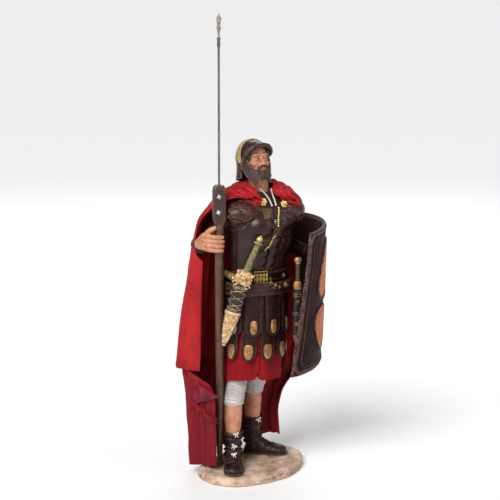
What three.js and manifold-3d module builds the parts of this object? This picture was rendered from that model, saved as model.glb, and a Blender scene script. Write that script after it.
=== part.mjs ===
// A standing Roman soldier with cloak, spear and shield on a small oval base.
// Millimetres, Z up, the soldier faces -Y and his shield arm is on +X.
import * as THREE from "three";
import Module from "manifold-3d";

const wasm = await Module();
wasm.setup();
const { Manifold, Mesh } = wasm;

// Driving sizes.
const FIGURE_HEIGHT = 292; // top of the base to the crown of the helmet
const BASE_THICK = 8;
const BASE_LONG = 115;
const BASE_SHORT = 78;
const BASE_TURN = 28; // degrees from +X to the long axis of the base
const STAND_AT = [-4, 2]; // where the figure stands from the middle of the base
const CLOTH = 2; // thickness of the cloak
const TUNIC_CLOTH = 1.6;
const LEATHER = 1.5; // thickness of the skirt strips
const SHIELD_PLATE = 2.2;
const SHIELD_RADIUS = 50;
const SHIELD_TALL = 128;
const SPEAR_LENGTH = 402;
const SHAFT_DIAMETER = 7.6;
const SHANK_DIAMETER = 2;
const FACET = 0.16; // deviation allowed where small facets are merged
const GAP = 0.3; // clearance between pieces that touch

// The pose is drawn on a figure 292 tall whose soles stand at 8, and scaled from there.
const DRAWN_HEIGHT = 292;
const DRAWN_FLOOR = 8;
const SCALE = FIGURE_HEIGHT / DRAWN_HEIGHT;
const gap = GAP / SCALE;
const RAD = Math.PI / 180;

const v3 = (x, y, z) => new THREE.Vector3(x, y, z);
const mix = (a, b, t) => a + (b - a) * t;
const clamp = (x, low, high) => Math.min(high, Math.max(low, x));
const ease = (t) => t * t * (3 - 2 * t);
const mix3 = (a, b, t) => a.clone().lerp(b, t);

// A closed body from points and faces, turned so that its faces point outwards.
function closed(points, faces) {
  let volume = 0;
  for (let i = 0; i < faces.length; i += 3) {
    const [a, b, c] = [points[faces[i]], points[faces[i + 1]], points[faces[i + 2]]];
    volume += a.dot(b.clone().cross(c));
  }
  const order = volume < 0 ? [0, 2, 1] : [0, 1, 2];
  const triVerts = new Uint32Array(faces.length);
  for (let i = 0; i < faces.length; i += 3) {
    order.forEach((k, j) => {
      triVerts[i + j] = faces[i + k];
    });
  }
  const vertProperties = new Float32Array(points.flatMap((p) => [p.x, p.y, p.z]));
  return new Manifold(new Mesh({ numProp: 3, vertProperties, triVerts }));
}

// Rings of equal length joined side by side, with a fan over each end.
function skin(rings) {
  const n = rings[0].length;
  const points = rings.flat();
  const faces = [];
  for (let i = 0; i + 1 < rings.length; i += 1) {
    for (let j = 0; j < n; j += 1) {
      const k = (j + 1) % n;
      const [a, b, c, d] = [i * n + j, i * n + k, (i + 1) * n + k, (i + 1) * n + j];
      faces.push(a, b, c, a, c, d);
    }
  }
  const last = (rings.length - 1) * n;
  [[0, true], [last, false]].forEach(([start, first]) => {
    const middle = points.length;
    const centre = v3(0, 0, 0);
    for (let j = 0; j < n; j += 1) centre.addScaledVector(points[start + j], 1 / n);
    points.push(centre);
    for (let j = 0; j < n; j += 1) {
      const k = (j + 1) % n;
      if (first) faces.push(middle, start + k, start + j);
      else faces.push(middle, start + j, start + k);
    }
  });
  return closed(points, faces);
}

// An oval of points about a centre, in the plane of two directions.
function oval(centre, across, along, rx, ry, count, square = 2) {
  return Array.from({ length: count }, (_, j) => {
    const a = (2 * Math.PI * (j + 0.5)) / count;
    const [c, s] = [Math.cos(a), Math.sin(a)];
    const x = Math.sign(c) * Math.abs(c) ** (2 / square) * rx;
    const y = Math.sign(s) * Math.abs(s) ** (2 / square) * ry;
    return centre.clone().addScaledVector(across, x).addScaledVector(along, y);
  });
}

// A limb through stations [x, y, z, half width, half depth], its rings square to its run.
function limb(stations, count = 12, grow = 0, side = v3(1, 0, 0), square = 2) {
  const at = stations.map(([x, y, z]) => v3(x, y, z));
  const last = at.length - 1;
  const rings = stations.map((s, i) => {
    const run = at[Math.min(i + 1, last)].clone().sub(at[Math.max(i - 1, 0)]).normalize();
    const across = side.clone().addScaledVector(run, -side.dot(run)).normalize();
    const along = run.clone().cross(across);
    const centre = at[i].clone();
    if (i === 0) centre.addScaledVector(run, -grow);
    if (i === last) centre.addScaledVector(run, grow);
    return oval(centre, across, along, s[3] + grow, (s[4] ?? s[3]) + grow, count, square);
  });
  return skin(rings);
}

// An upright body through stations [z, centre x, centre y, half width, half depth].
function upright(stations, count, grow = 0, square = 2.2) {
  return skin(
    stations.map(([z, x, y, a, b]) =>
      oval(v3(x, y, z), v3(1, 0, 0), v3(0, 1, 0), a + grow, b + grow, count, square),
    ),
  );
}

function ellipsoid(x, y, z, rx, ry, rz, count = 12, grow = 0) {
  const levels = Math.ceil(count / 2);
  const rings = [];
  for (let i = 1; i < levels; i += 1) {
    const a = (Math.PI * i) / levels - Math.PI / 2;
    const flat = Math.cos(a);
    const centre = v3(x, y, z + Math.sin(a) * (rz + grow));
    const [wide, deep] = [(rx + grow) * flat, (ry + grow) * flat];
    rings.push(oval(centre, v3(1, 0, 0), v3(0, 1, 0), wide, deep, count));
  }
  const cap = (ring, height) => ring.map((p) => v3(mix(p.x, x, 0.6), mix(p.y, y, 0.6), height));
  const low = cap(rings[0], z - rz - grow);
  const high = cap(rings[rings.length - 1], z + rz + grow);
  return skin([low, ...rings, high]);
}

// A cloth or plate laid over surface(s, t), with s and t from 0 to 1 in even or listed steps.
function sheet(surface, columns, rows, thick, swell = () => 1) {
  const steps = (n) => (Array.isArray(n) ? n : Array.from({ length: n + 1 }, (_, i) => i / n));
  const [ss, tt] = [steps(columns), steps(rows)];
  const [across, down] = [ss.length - 1, tt.length - 1];
  const sides = [[], []];
  const e = 1e-3;
  for (let i = 0; i <= down; i += 1) {
    for (let j = 0; j <= across; j += 1) {
      const [s, t] = [ss[j], tt[i]];
      const p = surface(s, t);
      const ds = surface(Math.min(s + e, 1), t).sub(surface(Math.max(s - e, 0), t));
      const dt = surface(s, Math.min(t + e, 1)).sub(surface(s, Math.max(t - e, 0)));
      const n = ds.cross(dt).normalize().multiplyScalar((thick * swell(s, t)) / 2);
      sides[0].push(p.clone().add(n));
      sides[1].push(p.clone().sub(n));
    }
  }
  const w = across + 1;
  const half = sides[0].length;
  const points = [...sides[0], ...sides[1]];
  const faces = [];
  const quad = (a, b, c, d) => faces.push(a, b, c, a, c, d);
  for (let i = 0; i < down; i += 1) {
    for (let j = 0; j < across; j += 1) {
      const a = i * w + j;
      quad(a, a + 1, a + w + 1, a + w);
      quad(half + a, half + a + w, half + a + w + 1, half + a + 1);
    }
  }
  for (let j = 0; j < across; j += 1) {
    const b = down * w + j;
    quad(j + 1, j, half + j, half + j + 1);
    quad(b, b + 1, half + b + 1, half + b);
  }
  for (let i = 0; i < down; i += 1) {
    const a = i * w;
    const b = i * w + across;
    quad(a, a + w, half + a + w, half + a);
    quad(b + w, b, half + b, half + b + w);
  }
  return closed(points, faces);
}

const join = (pieces) => Manifold.union(pieces);
const largest = (solid) => solid.decompose().sort((p, q) => q.volume() - p.volume())[0];

// The value of a list of stations at height z, the first number of each being its height.
function station(list, z) {
  const rows = [...list].sort((p, q) => p[0] - q[0]);
  const top = rows.findIndex((row) => row[0] >= z);
  if (top === 0) return rows[0].slice(1);
  if (top < 0) return rows[rows.length - 1].slice(1);
  const [low, high] = [rows[top - 1], rows[top]];
  const t = (z - low[0]) / (high[0] - low[0]);
  return low.slice(1).map((value, i) => mix(value, high[i + 1], t));
}

// Body.
const TORSO = [
  [140, 5, -2.6, 19, 13.5],
  [165, 6, -3.6, 20.4, 14.6],
  [175, 6.3, -4, 24.2, 17.4],
  [190, 7.4, -5, 25, 17.8],
  [205, 9, -6, 27.5, 19.5],
  [219, 10.5, -6.5, 29.5, 20.5],
  [232, 12, -6, 30.5, 20],
  [242, 12.5, -5, 28.5, 17],
  [249, 12.5, -5, 20, 13],
  [255, 11, -5, 10.5, 10],
];

const TORSO_SIDES = 16;

const HEAD_AT = v3(5, -3, 282);
const HEAD_TURN = 10;
const HEAD_TILT = -14;

// Head pieces are drawn about the middle of the head, looking along -Y.
function onHead(piece) {
  return piece.rotate([HEAD_TILT, 0, HEAD_TURN]).translate([HEAD_AT.x, HEAD_AT.y, HEAD_AT.z]);
}

const HEAD = [
  [-19, 0, -8, 3, 3],
  [-16.2, 0, -6.8, 6.8, 6.8],
  [-11, 0, -3.4, 9.2, 11.2],
  [-7, 0, -1, 9.9, 12.6],
  [-2.6, 0, 0, 10.6, 13.2],
  [3.6, 0, 1, 11.2, 14.3],
  [9, 0, 1.5, 10.7, 13.8],
  [13.4, 0, 1.5, 8.6, 11.5],
  [16, 0, 1.5, 4.6, 6.5],
];

function head(grow) {
  const ears = [-1, 1].map((side) => ellipsoid(side * 11.2, 1.5, -1, 1.6, 2.6, 4, 6, grow));
  const nose = limb(
    [
      [0, -12.2, 3.6, 1.4, 1.6],
      [0, -14.2, -0.8, 1.8, 2.1],
      [0, -14.4, -3.2, 2.5, 2.4],
      [0, -12, -4.6, 2.2, 1.8],
    ],
    8,
    grow,
  );
  const brow = limb(
    [
      [-7.5, -9.6, 4, 1.4],
      [-3.6, -12.2, 4.6, 1.7],
      [3.6, -12.2, 4.6, 1.7],
      [7.5, -9.6, 4, 1.4],
    ],
    6,
    grow,
    v3(0, 0, 1),
  );
  return onHead(join([upright(HEAD, 12, grow), ...ears, nose, brow]));
}

const SPEAR_FOOT = v3(-27.6, -2, DRAWN_FLOOR);
const SPEAR_RUN = v3(-7.4, -20.5, 401).normalize();
const spearAt = (h) => SPEAR_FOOT.clone().addScaledVector(SPEAR_RUN, h);
const SPEAR_HOLD = spearAt(207);

function bend(points, radii, count, grow) {
  return limb(
    points.map(([x, y, z], i) => [x, y, z, radii[i]]),
    count,
    grow,
    v3(0.3, 0.2, 1),
  );
}

// The right hand closes round the spear: a palm beside it, four fingers and a thumb.
// Its points are [to the left arm's side, towards the viewer in front, up] from the grip.
function grippingHand(grow) {
  const turn = -22 * RAD;
  const spot = ([u, d, z]) => [
    SPEAR_HOLD.x + u * Math.cos(turn) + d * Math.sin(turn),
    SPEAR_HOLD.y + u * Math.sin(turn) - d * Math.cos(turn),
    SPEAR_HOLD.z + z,
  ];
  const front = SHAFT_DIAMETER / 2 / SCALE + 2;
  const palm = limb(
    [
      [...spot([-18.4, -13, -5.6]), 4.6, 3.8],
      [...spot([-14.4, -3.4, -2.4]), 7, 4],
      [...spot([-9.4, -1.4, -0.6]), 8.2, 4.2],
      [...spot([-4.6, -3.6, 0]), 7.8, 2.6],
    ],
    10,
    grow,
    v3(0, 0, 1),
  );
  const fingers = Array.from({ length: 4 }, (_, k) => {
    const z = 4.6 - 3.9 * k;
    const draw = 0.5 * Math.abs(k - 1.3);
    const path = [
      [-13.6 + draw, 0, z],
      [-9.6 + draw, front - 0.8, z - 0.5],
      [-1.4, front + 0.9, z - 1.2],
      [4.2 - draw, front - 1.2, z - 1.5],
    ].map(spot);
    return bend(path, [2.1, 2.3, 2.2, 1.6], 5, grow);
  });
  const thumb = [
    [-10, -1, 5],
    [-8.4, 2.4, 8],
    [-5.8, front - 1, 10.4],
    [-2.4, front, 12.2],
  ].map(spot);
  return join([palm, ...fingers, bend(thumb, [3.2, 2.8, 2.3, 1.7], 6, grow)]);
}

// Each arm is an upper arm and a forearm that meet in the elbow.
const ARMS = [
  {
    upper: [
      [-10, -4, 238, 12.5, 11.5],
      [-17, -2, 236, 12, 11],
      [-24, 7, 224, 9.6, 9.2],
      [-30.6, 15.6, 211, 8, 8],
    ],
    elbow: [-31, 16, 209.4, 8, 8.2, 8],
    fore: [
      [-31, 16, 209, 7.8, 7.8],
      [-38.4, 11, 207.4, 6.4, 6.2],
      [-43, 4, 208.4, 4.8, 4.8],
    ],
  },
  {
    upper: [
      [31, -3, 238, 12, 11],
      [37, 0, 234, 10.5, 10],
      [41.5, 7, 220, 9, 9],
      [44.5, 11, 206, 8.4, 8.4],
    ],
    elbow: [44.8, 10.6, 204.6, 8.4, 8.4, 8.4],
    fore: [
      [44.8, 10.6, 204, 8, 8],
      [50, 1, 200.6, 6.8, 6.8],
      [55, -9, 199, 5.4, 5.4],
    ],
  },
];

function arms(grow) {
  const limbs = ARMS.flatMap(({ upper, elbow, fore }) => [
    limb(upper, 8, grow),
    ellipsoid(...elbow, 6, grow),
    limb(fore, 8, grow),
  ]);
  const fist = ellipsoid(57.2, -14, 199, 5, 6.6, 6.6, 8, grow);
  return join([...limbs, grippingHand(grow), fist]);
}

const RIGHT_LEG = [
  [-1, -2, 156, 10.5, 11.5],
  [-4, -2, 130, 10.6, 11.2],
  [-8.6, -2.4, 96, 8.2, 9.6],
  [-11.2, -2.5, 84, 8.6, 9.6],
  [-15, -4.2, 66.4, 8.8, 9.2],
  [-15.2, -4.4, 65.4, 8, 8.6],
  [-16.4, -6, 52, 7.8, 8.6],
  [-17, -7.4, 40, 6.6, 7],
];
const LEFT_LEG = [
  [13, -3, 156, 10.5, 11.5],
  [14, -1, 130, 11.2, 11.6],
  [12.4, 3.6, 96, 9.2, 9.4],
  [11.6, 7.4, 84, 9, 9.2],
  [11.8, 16, 71.4, 8.8, 9.2],
  [12, 16.4, 70.4, 8, 8.6],
  [12.8, 19.6, 54, 7.8, 8.4],
  [13.6, 21.8, 40, 6.6, 7],
];

// A laced boot: a shaft, a heel and a foot that runs out along a turn from -Y.
function boot(x, y, top, turn, grow) {
  const run = v3(Math.sin(turn * RAD), -Math.cos(turn * RAD), 0);
  const across = v3(Math.cos(turn * RAD), Math.sin(turn * RAD), 0);
  const at = (out, z) => v3(x, y, z).addScaledVector(run, out);
  const low = DRAWN_FLOOR + gap - grow;
  const shaft = [
    [top + grow, 0, 8.2],
    [top - 2, 0, 8.4],
    [top - 3, 0, 7.7],
    [mix(low, top, 0.52), 0.4, 7.2],
    [mix(low, top, 0.12), 1, 7.6],
    [low, 1, 7.4],
  ].map(([z, out, r]) => oval(at(out, z), across, run, r + grow, r * 1.04 + grow, 9));
  const foot = [
    [-7.4, 6.6, 5],
    [-3, 7, 12],
    [6, 7.4, 15.4],
    [15, 8.1, 10.2],
    [25, 8, 7.6],
    [31.4, 3.6, 4.2],
  ].map(([out, half, high], i, all) => {
    const push = i === 0 ? -grow : i === all.length - 1 ? grow : 0;
    return Array.from({ length: 7 }, (_, j) => {
      const a = (Math.PI * j) / 6;
      const across1 = Math.cos(a) * (half + grow);
      const up = Math.sin(a) ** 0.7 * (high + grow);
      const p = at(out + push, low).addScaledVector(across, across1);
      p.z += j === 0 || j === 6 ? 0 : up + 0.6;
      return p;
    });
  });
  return join([skin(shaft), skin(foot)]);
}

function legs(grow) {
  return join([
    limb(RIGHT_LEG, 8, grow),
    limb(LEFT_LEG, 8, grow),
    boot(-17.2, -8, 40, -20, grow),
    boot(13.6, 21.6, 43, 60, grow),
  ]);
}

// Breast muscles of the moulded leather cuirass.
function chest(grow) {
  return join(
    [-1, 1].map((side) => ellipsoid(14 + side * 10.5, -19.8 + side, 228, 11, 6.8, 8.2, 8, grow)),
  );
}

function figure(grow) {
  const neck = limb(
    [
      [11, -5, 248, 10.5],
      [9, -4.6, 258, 8.8],
      [7, -4, 270, 8.6],
    ],
    8,
    grow,
  );
  const torso = upright(TORSO, TORSO_SIDES, grow);
  return join([torso, neck, head(grow), arms(grow), legs(grow), chest(grow)]);
}

const body = figure(0);
const around = figure(1.6 * gap);

// Helmet: a cap with a rolled brim, cheek flaps and a short neck guard.
const CAP = [
  [-1, 0, 2.6, 13.6, 16.2],
  [3.6, 0, 2, 14.2, 16.8],
  [8, 0, 1.8, 13.9, 16.6],
  [12.2, 0, 1.8, 12.2, 14.6],
  [15.4, 0, 1.8, 8.8, 10.6],
  [17.4, 0, 1.8, 4.2, 5],
];

function helmetShape(grow) {
  const brow = limb(
    [
      [-13.4, -2, -5, 1.9],
      [-13.3, -6, 0.4, 2.1],
      [-11.4, -10.6, 5, 2.2],
      [-6.6, -14.6, 8, 2.3],
      [0, -16, 9, 2.4],
      [6.6, -14.6, 8, 2.3],
      [11.4, -10.6, 5, 2.2],
      [13.3, -6, 0.4, 2.1],
      [13.4, -2, -5, 1.9],
    ],
    5,
    grow,
    v3(0, 0, 1),
  );
  const opening = upright(
    [
      [-30, 0, -16, 9, 11],
      [-6, 0, -16, 10.5, 12],
      [1.6, 0, -15, 10.4, 10.8],
      [6, 0, -14.6, 7, 8],
      [7.4, 0, -14.6, 3, 5],
    ],
    8,
    -grow,
    2,
  );
  const guard = sheet(
    (s, t) => {
      const a = mix(-8, 188, s) * RAD;
      const r = mix(0, 2.4, t);
      return v3(Math.cos(a) * (12.6 + r), 2.4 + Math.sin(a) * (14.6 + r), mix(1, -15, t));
    },
    7,
    1,
    2 + 2 * grow,
  );
  const flaps = [-1, 1].map((side) =>
    sheet(
      (s, t) => {
        const end = t > 0.8 ? mix(1, 0.45, (t - 0.8) / 0.2) : 1;
        const wide = mix(4.2, 5.2, ease(clamp(t * 1.6, 0, 1))) * end;
        const y = mix(-3.4, -9.2, t) + (s - 0.5) * 2 * wide;
        const out = mix(12.4, 7.6, t * t) - 0.012 * (y + 4) * (y + 4);
        return v3(side * out, y, mix(0, -20.5, t));
      },
      2,
      3,
      1.7 + 2 * grow,
    ),
  );
  return onHead(join([upright(CAP, 14, grow, 2).subtract(opening), brow, guard, ...flaps]));
}

// A band over the crown of the cap, from behind one ear to behind the other.
function crestBand() {
  const half = CAP.map(([z, , , a]) => [a - 0.2, z]);
  const path = [...half.map(([x, z]) => [-x, z]), [0, 18], ...half.reverse()];
  return onHead(
    sheet(
      (s, t) => {
        const f = t * (path.length - 1);
        const i = Math.min(Math.floor(f), path.length - 2);
        const [x, z] = [0, 1].map((k) => mix(path[i][k], path[i + 1][k], f - i));
        const back = 3.2 + (s - 0.5) * 5;
        const out = v3(x, 0, z - 2).normalize();
        const p = v3(x, 2 + back, z);
        return p.addScaledVector(out, gap + 0.8 - 0.032 * back * back);
      },
      2,
      path.length - 1,
      1.3,
    ),
  );
}

const helmet = helmetShape(0).subtract(around);
const helmetAround = helmetShape(1.3 * gap);
const helmetClear = helmetShape(2.4 * gap);
const crest = crestBand().subtract(helmetAround).subtract(around);

// Skirts: the tunic, and two rows of leather strips over it.
const SKIRT = [
  [86, 4.4, -1.4, 28.2, 22.8],
  [104, 4.8, -2.2, 27.2, 22],
  [130, 5.4, -3, 26.2, 20.8],
  [160, 6.2, -3.8, 25, 18.8],
  [182, 6.8, -4.4, 24.6, 18],
];
const TUNIC_HEM = 88;
const LOWER_TIPS = 107;
const UPPER_TIPS = 130;
const STRIPS_TOP = 172;
const STRIPS = 10;

function skirtPoint(angle, z, out) {
  const [x, y, a, b] = station(SKIRT, z);
  return v3(x + (a + out) * Math.cos(angle), y + (b + out) * Math.sin(angle), z);
}

function tunicShape() {
  const fold = (angle, z) => {
    const loose = clamp((150 - z) / 62, 0, 1);
    return loose * (1.5 * Math.sin(9 * angle + 0.6) + 0.8 * Math.sin(5 * angle + 2));
  };
  const wall = (inset, low) =>
    skin(
      [low, 106, 130, 158].map((z) =>
        Array.from({ length: 28 }, (_, j) => {
          const angle = (2 * Math.PI * j) / 28;
          return skirtPoint(angle, z, fold(angle, z) - inset - 1.6);
        }),
      ),
    );
  const slit = sheet(
    (s, t) => v3(mix(2.4, 5.2, s) + mix(-1.2, 1, t) * (s - 0.5), -24, mix(80, 103, t)),
    1,
    1,
    12,
  );
  return wall(0, TUNIC_HEM).subtract(wall(TUNIC_CLOTH / SCALE, TUNIC_HEM - 6)).subtract(slit);
}

// A row of strips with rounded ends and a raised tip on each, hung from one band.
function stripRow(low, out, turn, thick, grow = 0) {
  const half = Math.PI / STRIPS;
  const pieces = [];
  for (let k = 0; k < STRIPS; k += 1) {
    const middle = turn + 2 * half * k;
    const wide = (t) => {
      const taper = mix(0.95, 0.8, ease(clamp(t * 1.5, 0, 1)));
      return half * taper * (t > 0.84 ? Math.sqrt(1 - ((t - 0.84) / 0.175) ** 2) : 1);
    };
    pieces.push(
      sheet(
        (s, t) => {
          const z = mix(STRIPS_TOP - 2, low - grow, t);
          const raised = 0.9 * clamp(1 - Math.abs(t - 0.87) / 0.13, 0, 1) ** 0.3;
          const crown = 1 - (2 * s - 1) ** 2;
          const angle = middle + (s - 0.5) * 2 * (wide(t) + grow / 24);
          return skirtPoint(angle, z, out + 0.5 * t + raised * crown);
        },
        2,
        [0, 0.78, 0.92, 1],
        thick + 2 * grow,
      ),
    );
  }
  const wall = (extra, z0, z1) =>
    skin(
      [z0, z1].map((z) =>
        Array.from({ length: 2 * STRIPS }, (_, j) => skirtPoint(turn + half * j, z, out + extra)),
      ),
    );
  const deep = thick / 2 + 0.4 + grow;
  const band = wall(deep, STRIPS_TOP - 5 - grow, STRIPS_TOP + grow);
  pieces.push(band.subtract(wall(-deep, STRIPS_TOP - 9, STRIPS_TOP + 4)));
  return join(pieces);
}

const strip = LEATHER / SCALE;
const tunic = tunicShape();
const rowTurn = -82 * RAD;
const lowerOut = 0.3 + strip / 2;
const upperOut = lowerOut + strip + 0.9 + gap;
const lowerRow = stripRow(LOWER_TIPS, lowerOut, rowTurn, strip);
const upperRow = stripRow(UPPER_TIPS, upperOut, rowTurn + 8 * RAD, strip);

// A band round the waist, set out from the rings of a station list.
function waistBand(list, low, high, out, thick, bulge, rows) {
  const wall = (size, z0, z1, swell) =>
    skin(
      Array.from({ length: rows + 1 }, (_, i) => {
        const z = mix(z0, z1, i / rows);
        const [x, y, a, b] = station(list, z);
        const full = size + swell * Math.sin((Math.PI * i) / rows);
        return oval(v3(x, y, z), v3(1, 0, 0), v3(0, 1, 0), a + full, b + full, TORSO_SIDES, 2.2);
      }),
    );
  return wall(out + thick, low, high, bulge).subtract(wall(out, low - 2, high + 2, 0));
}

const sashOut = upperOut + strip / 2 + 0.75 + gap;
const sash = waistBand(SKIRT, 166, 177, sashOut, 1, 1.1, 3);
const belt = waistBand(TORSO, 177.6, 186.4, gap, 2.2, 0, 1);

// Plates on the belt.
function plate(angle, z, wide, tall, thick) {
  const [x, y, a, b] = station(TORSO, z);
  const out = 2.2 + 2 * gap;
  const [cos, sin] = [Math.cos(angle), Math.sin(angle)];
  const stretch = (v) => Math.sign(v) * Math.abs(v) ** (2 / 2.2);
  const c = v3(x + (a + out) * stretch(cos), y + (b + out) * stretch(sin), z);
  const normal = v3(cos / a, sin / b, 0).normalize();
  c.addScaledVector(normal, 0.05 * wide + 0.2);
  const across = v3(-normal.y, normal.x, 0);
  const rings = [
    [0, 0],
    [thick * 0.6, 0],
    [thick, 0.8],
  ].map(([d, inset]) => {
    const centre = c.clone().addScaledVector(normal, d);
    return oval(centre, across, v3(0, 0, 1), wide - inset, tall - inset, 8, 5);
  });
  return skin(rings);
}

const PLATES = [
  ["buckle", -96, 182, 6, 5, 2.2],
  ["belt_plate_right", -150, 183.4, 5.4, 4.4, 1.8],
  ["belt_stud_left", -48, 181.6, 3.2, 4, 1.8],
];
const plates = PLATES.map(([name, angle, ...sizes]) => [name, plate(angle * RAD, ...sizes)]);

// Shoulder guards of layered leather.
function guardLayers(side, grow) {
  const at = side < 0 ? [-9.5, -5.4, 237] : [34, -4.2, 236.5];
  const layers = [
    [15.5, 18.6, 14, 225],
    [17.2, 19.6, 12.8, 232],
  ];
  return join(
    layers.slice(side < 0 ? 0 : 1).map(([rx, ry, rz, low]) =>
      ellipsoid(at[0], at[1], at[2], rx, ry, rz, 10, grow).intersect(
        ellipsoid(at[0], at[1], low + 30, 40, 40, 30, 6, grow),
      ),
    ),
  );
}

// Cloak. Stations are height, middle, half sizes, the angles of its two edges, and fold depth.
const CLOAK = [
  [264, 9.4, -4, 12, 12.6, 236, -56, 0],
  [259.5, 9.4, -3.6, 22.4, 18.4, 246, -66, 0.3],
  [254.5, 9, -3, 31.8, 22.6, 214, -40, 0.6],
  [243, 6.4, -2.4, 41.4, 27, 190, -24, 0.9],
  [230, 2.4, -1, 46.4, 32, 178, -4, 1.4],
  [206, 2, 2, 50.8, 34.5, 170, 10, 2.2],
  [150, -1, 3, 56, 36, 172, 13, 3],
  [98, -2.4, 4, 55.6, 38, 182, 18, 3.6],
  [86, -0.2, 4, 52.6, 37.6, 212, 20, 3.6],
  [50, -0.4, 4, 49.4, 36, 217, 30, 3.8],
  [9, 0.4, 4, 47.1, 34, 216, 28, 4],
];

function cloakSurface(s, z, out = 0) {
  const [x, y, a, b, from, to, depth] = station(CLOAK, z);
  const angle = mix(from, to, s) * RAD;
  const edge = Math.exp(-((s / 0.07) ** 2)) * 0.16 + Math.exp(-(((1 - s) / 0.06) ** 2)) * 0.08;
  const low = clamp((235 - z) / 60, 0, 1);
  const wave = Math.sin(34 * s + 0.5 + 0.006 * z) + 0.5 * Math.sin(57 * s + 1.4 - 0.01 * z);
  const flare = 8 * Math.exp(-(((1 - s) / 0.09) ** 2)) * Math.exp(-(((z - 82) / 10) ** 2));
  const r = out + depth * wave + flare;
  const k = 1 - edge * low;
  const drop = clamp((z - 243) / 15, 0, 1) * 7 * Math.max(0, -Math.sin(angle));
  return v3(x + (a * k + r) * Math.cos(angle), y + (b * k + r) * Math.sin(angle), z - drop);
}

// The part over the forearm, drawn as a curve between two ends with two handles at each height:
// height, front end, front handle, back handle, back end.
const OVER_ARM = [
  [97, -46, -4, -60, -4, -74, 16, -50, 24],
  [150, -44, -1, -54, -1, -65, 15, -47, 22],
  [196, -41.5, 2, -47, 2, -51, 13, -41, 20],
  [204, -40.5, 3, -45, 3, -47, 12, -39, 19],
];

function overArm(s, t) {
  const z = mix(mix(195, 203, ease(clamp(s * 1.5, 0, 1))), 97.5 + 2 * s, t);
  const [x0, y0, x1, y1, x2, y2, x3, y3] = station(OVER_ARM, z);
  const w = [(1 - s) ** 3, 3 * s * (1 - s) ** 2, 3 * s * s * (1 - s), s ** 3];
  const x = w[0] * x0 + w[1] * x1 + w[2] * x2 + w[3] * x3;
  const y = w[0] * y0 + w[1] * y1 + w[2] * y2 + w[3] * y3;
  return v3(x, y, z);
}

function cloakShape(grow) {
  const levels = [264, 259.5, 254.5, 248, 238, 220, 180, 120, 98, 84, 60, 9];
  const cloth = CLOTH / SCALE + 2 * grow;
  const main = sheet(
    (s0, t) => {
      const s = mix(-0.012 * grow, 1 + 0.012 * grow, s0);
      const f = t * (levels.length - 1);
      const i = Math.min(Math.floor(f), levels.length - 2);
      const z = mix(levels[i], levels[i + 1], f - i);
      const lift = 14 * ease(clamp((s - 0.45) / 0.5, 0, 1)) + 4 * clamp(1 - s / 0.14, 0, 1);
      return cloakSurface(s, z < 60 ? z + (lift * (60 - z)) / 51 : z);
    },
    22,
    levels.length - 1,
    cloth,
  );
  return join([main, sheet(overArm, 7, 3, cloth)]);
}

const cloakAround = cloakShape(2 * gap);

// Shield: a curved plate with a rolled rim, narrower at the top.
const SHIELD_AXIS = v3(16.7, -6.8, 0);
const SHIELD_FACE = -22; // degrees from +X to the direction the middle of the shield faces
const SHIELD_LOW = 98;
const SHIELD_EDGE = [-44, -62, 58]; // front edge at the top and bottom, and back edge, degrees

function shieldPoint(s, t, out = 0) {
  const front = mix(SHIELD_EDGE[0], SHIELD_EDGE[1], t);
  const angle = (SHIELD_FACE + mix(front, SHIELD_EDGE[2], s)) * RAD;
  const r = SHIELD_RADIUS / SCALE + out;
  const [x, y] = [r * Math.cos(angle), r * Math.sin(angle)];
  const back = 0.375 * x + 0.927 * y;
  const round = Math.sin(Math.PI * s);
  const high = SHIELD_LOW + SHIELD_TALL / SCALE + 0.1 * back + round;
  const low = SHIELD_LOW + 7 + 0.17 * back - 0.6 * round;
  const lean = (3.6 / 0.75) * Math.max(0, t - 0.25);
  return v3(SHIELD_AXIS.x + x - 0.927 * lean, SHIELD_AXIS.y + y + 0.375 * lean, mix(high, low, t));
}

function shieldShape() {
  const sides = [0, 0.035, 0.07, 0.16, 0.27, 0.38, 0.5, 0.62, 0.73, 0.84, 0.93, 0.965, 1];
  const ends = [0, 0.02, 0.045, 0.35, 0.65, 0.955, 0.98, 1];
  const rim = (s, t) => {
    const side = Math.min(s, 1 - s) * SHIELD_RADIUS * 1.9;
    const edge = Math.min(side, Math.min(t, 1 - t) * SHIELD_TALL);
    return edge < 4.4 ? 1.15 + 0.75 * Math.sin((Math.PI * edge) / 4.6) : 1;
  };
  const face = sheet((s, t) => shieldPoint(s, t), sides, ends, SHIELD_PLATE / SCALE, rim);
  const grip = limb(
    [
      [2, 49.4],
      [-2, 45],
      [-11, 42.6],
      [-20, 45],
      [-24, 49.4],
    ].map(([angle, r]) => [
      SHIELD_AXIS.x + r * Math.cos(angle * RAD),
      SHIELD_AXIS.y + r * Math.sin(angle * RAD),
      199,
      2.4,
      1,
    ]),
    6,
    0,
    v3(0, 0, 1),
  );
  return join([face, grip]);
}

const shield = shieldShape().subtract(around);

// Spear: a wooden shaft with a block at its head, a steel shank and a small leaf point.
function spearShaft(grow) {
  const r = SHAFT_DIAMETER / 2 / SCALE + grow;
  const stations = [
    [gap - grow, r * 0.62],
    [60, r * 0.82],
    [130, r],
    [222, r],
  ];
  const side = v3(1, 0, 0);
  return limb(
    stations.map(([h, half]) => [...spearAt(h).toArray(), half]),
    8,
    0,
    side,
  );
}

function spearBlock(grow) {
  const stations = [
    [221, 3.6, 3.4],
    [226, 5.6, 4.4],
    [230, 5.9, 4.6],
    [248, 5.7, 4.6],
    [253, 4.4, 4.2],
    [255.6, 3, 3.2],
  ];
  return limb(
    stations.map(([h, a, b]) => [...spearAt(h).toArray(), a + grow, b + grow]),
    8,
    0,
    v3(1, -0.3, 0),
    3,
  );
}

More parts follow.
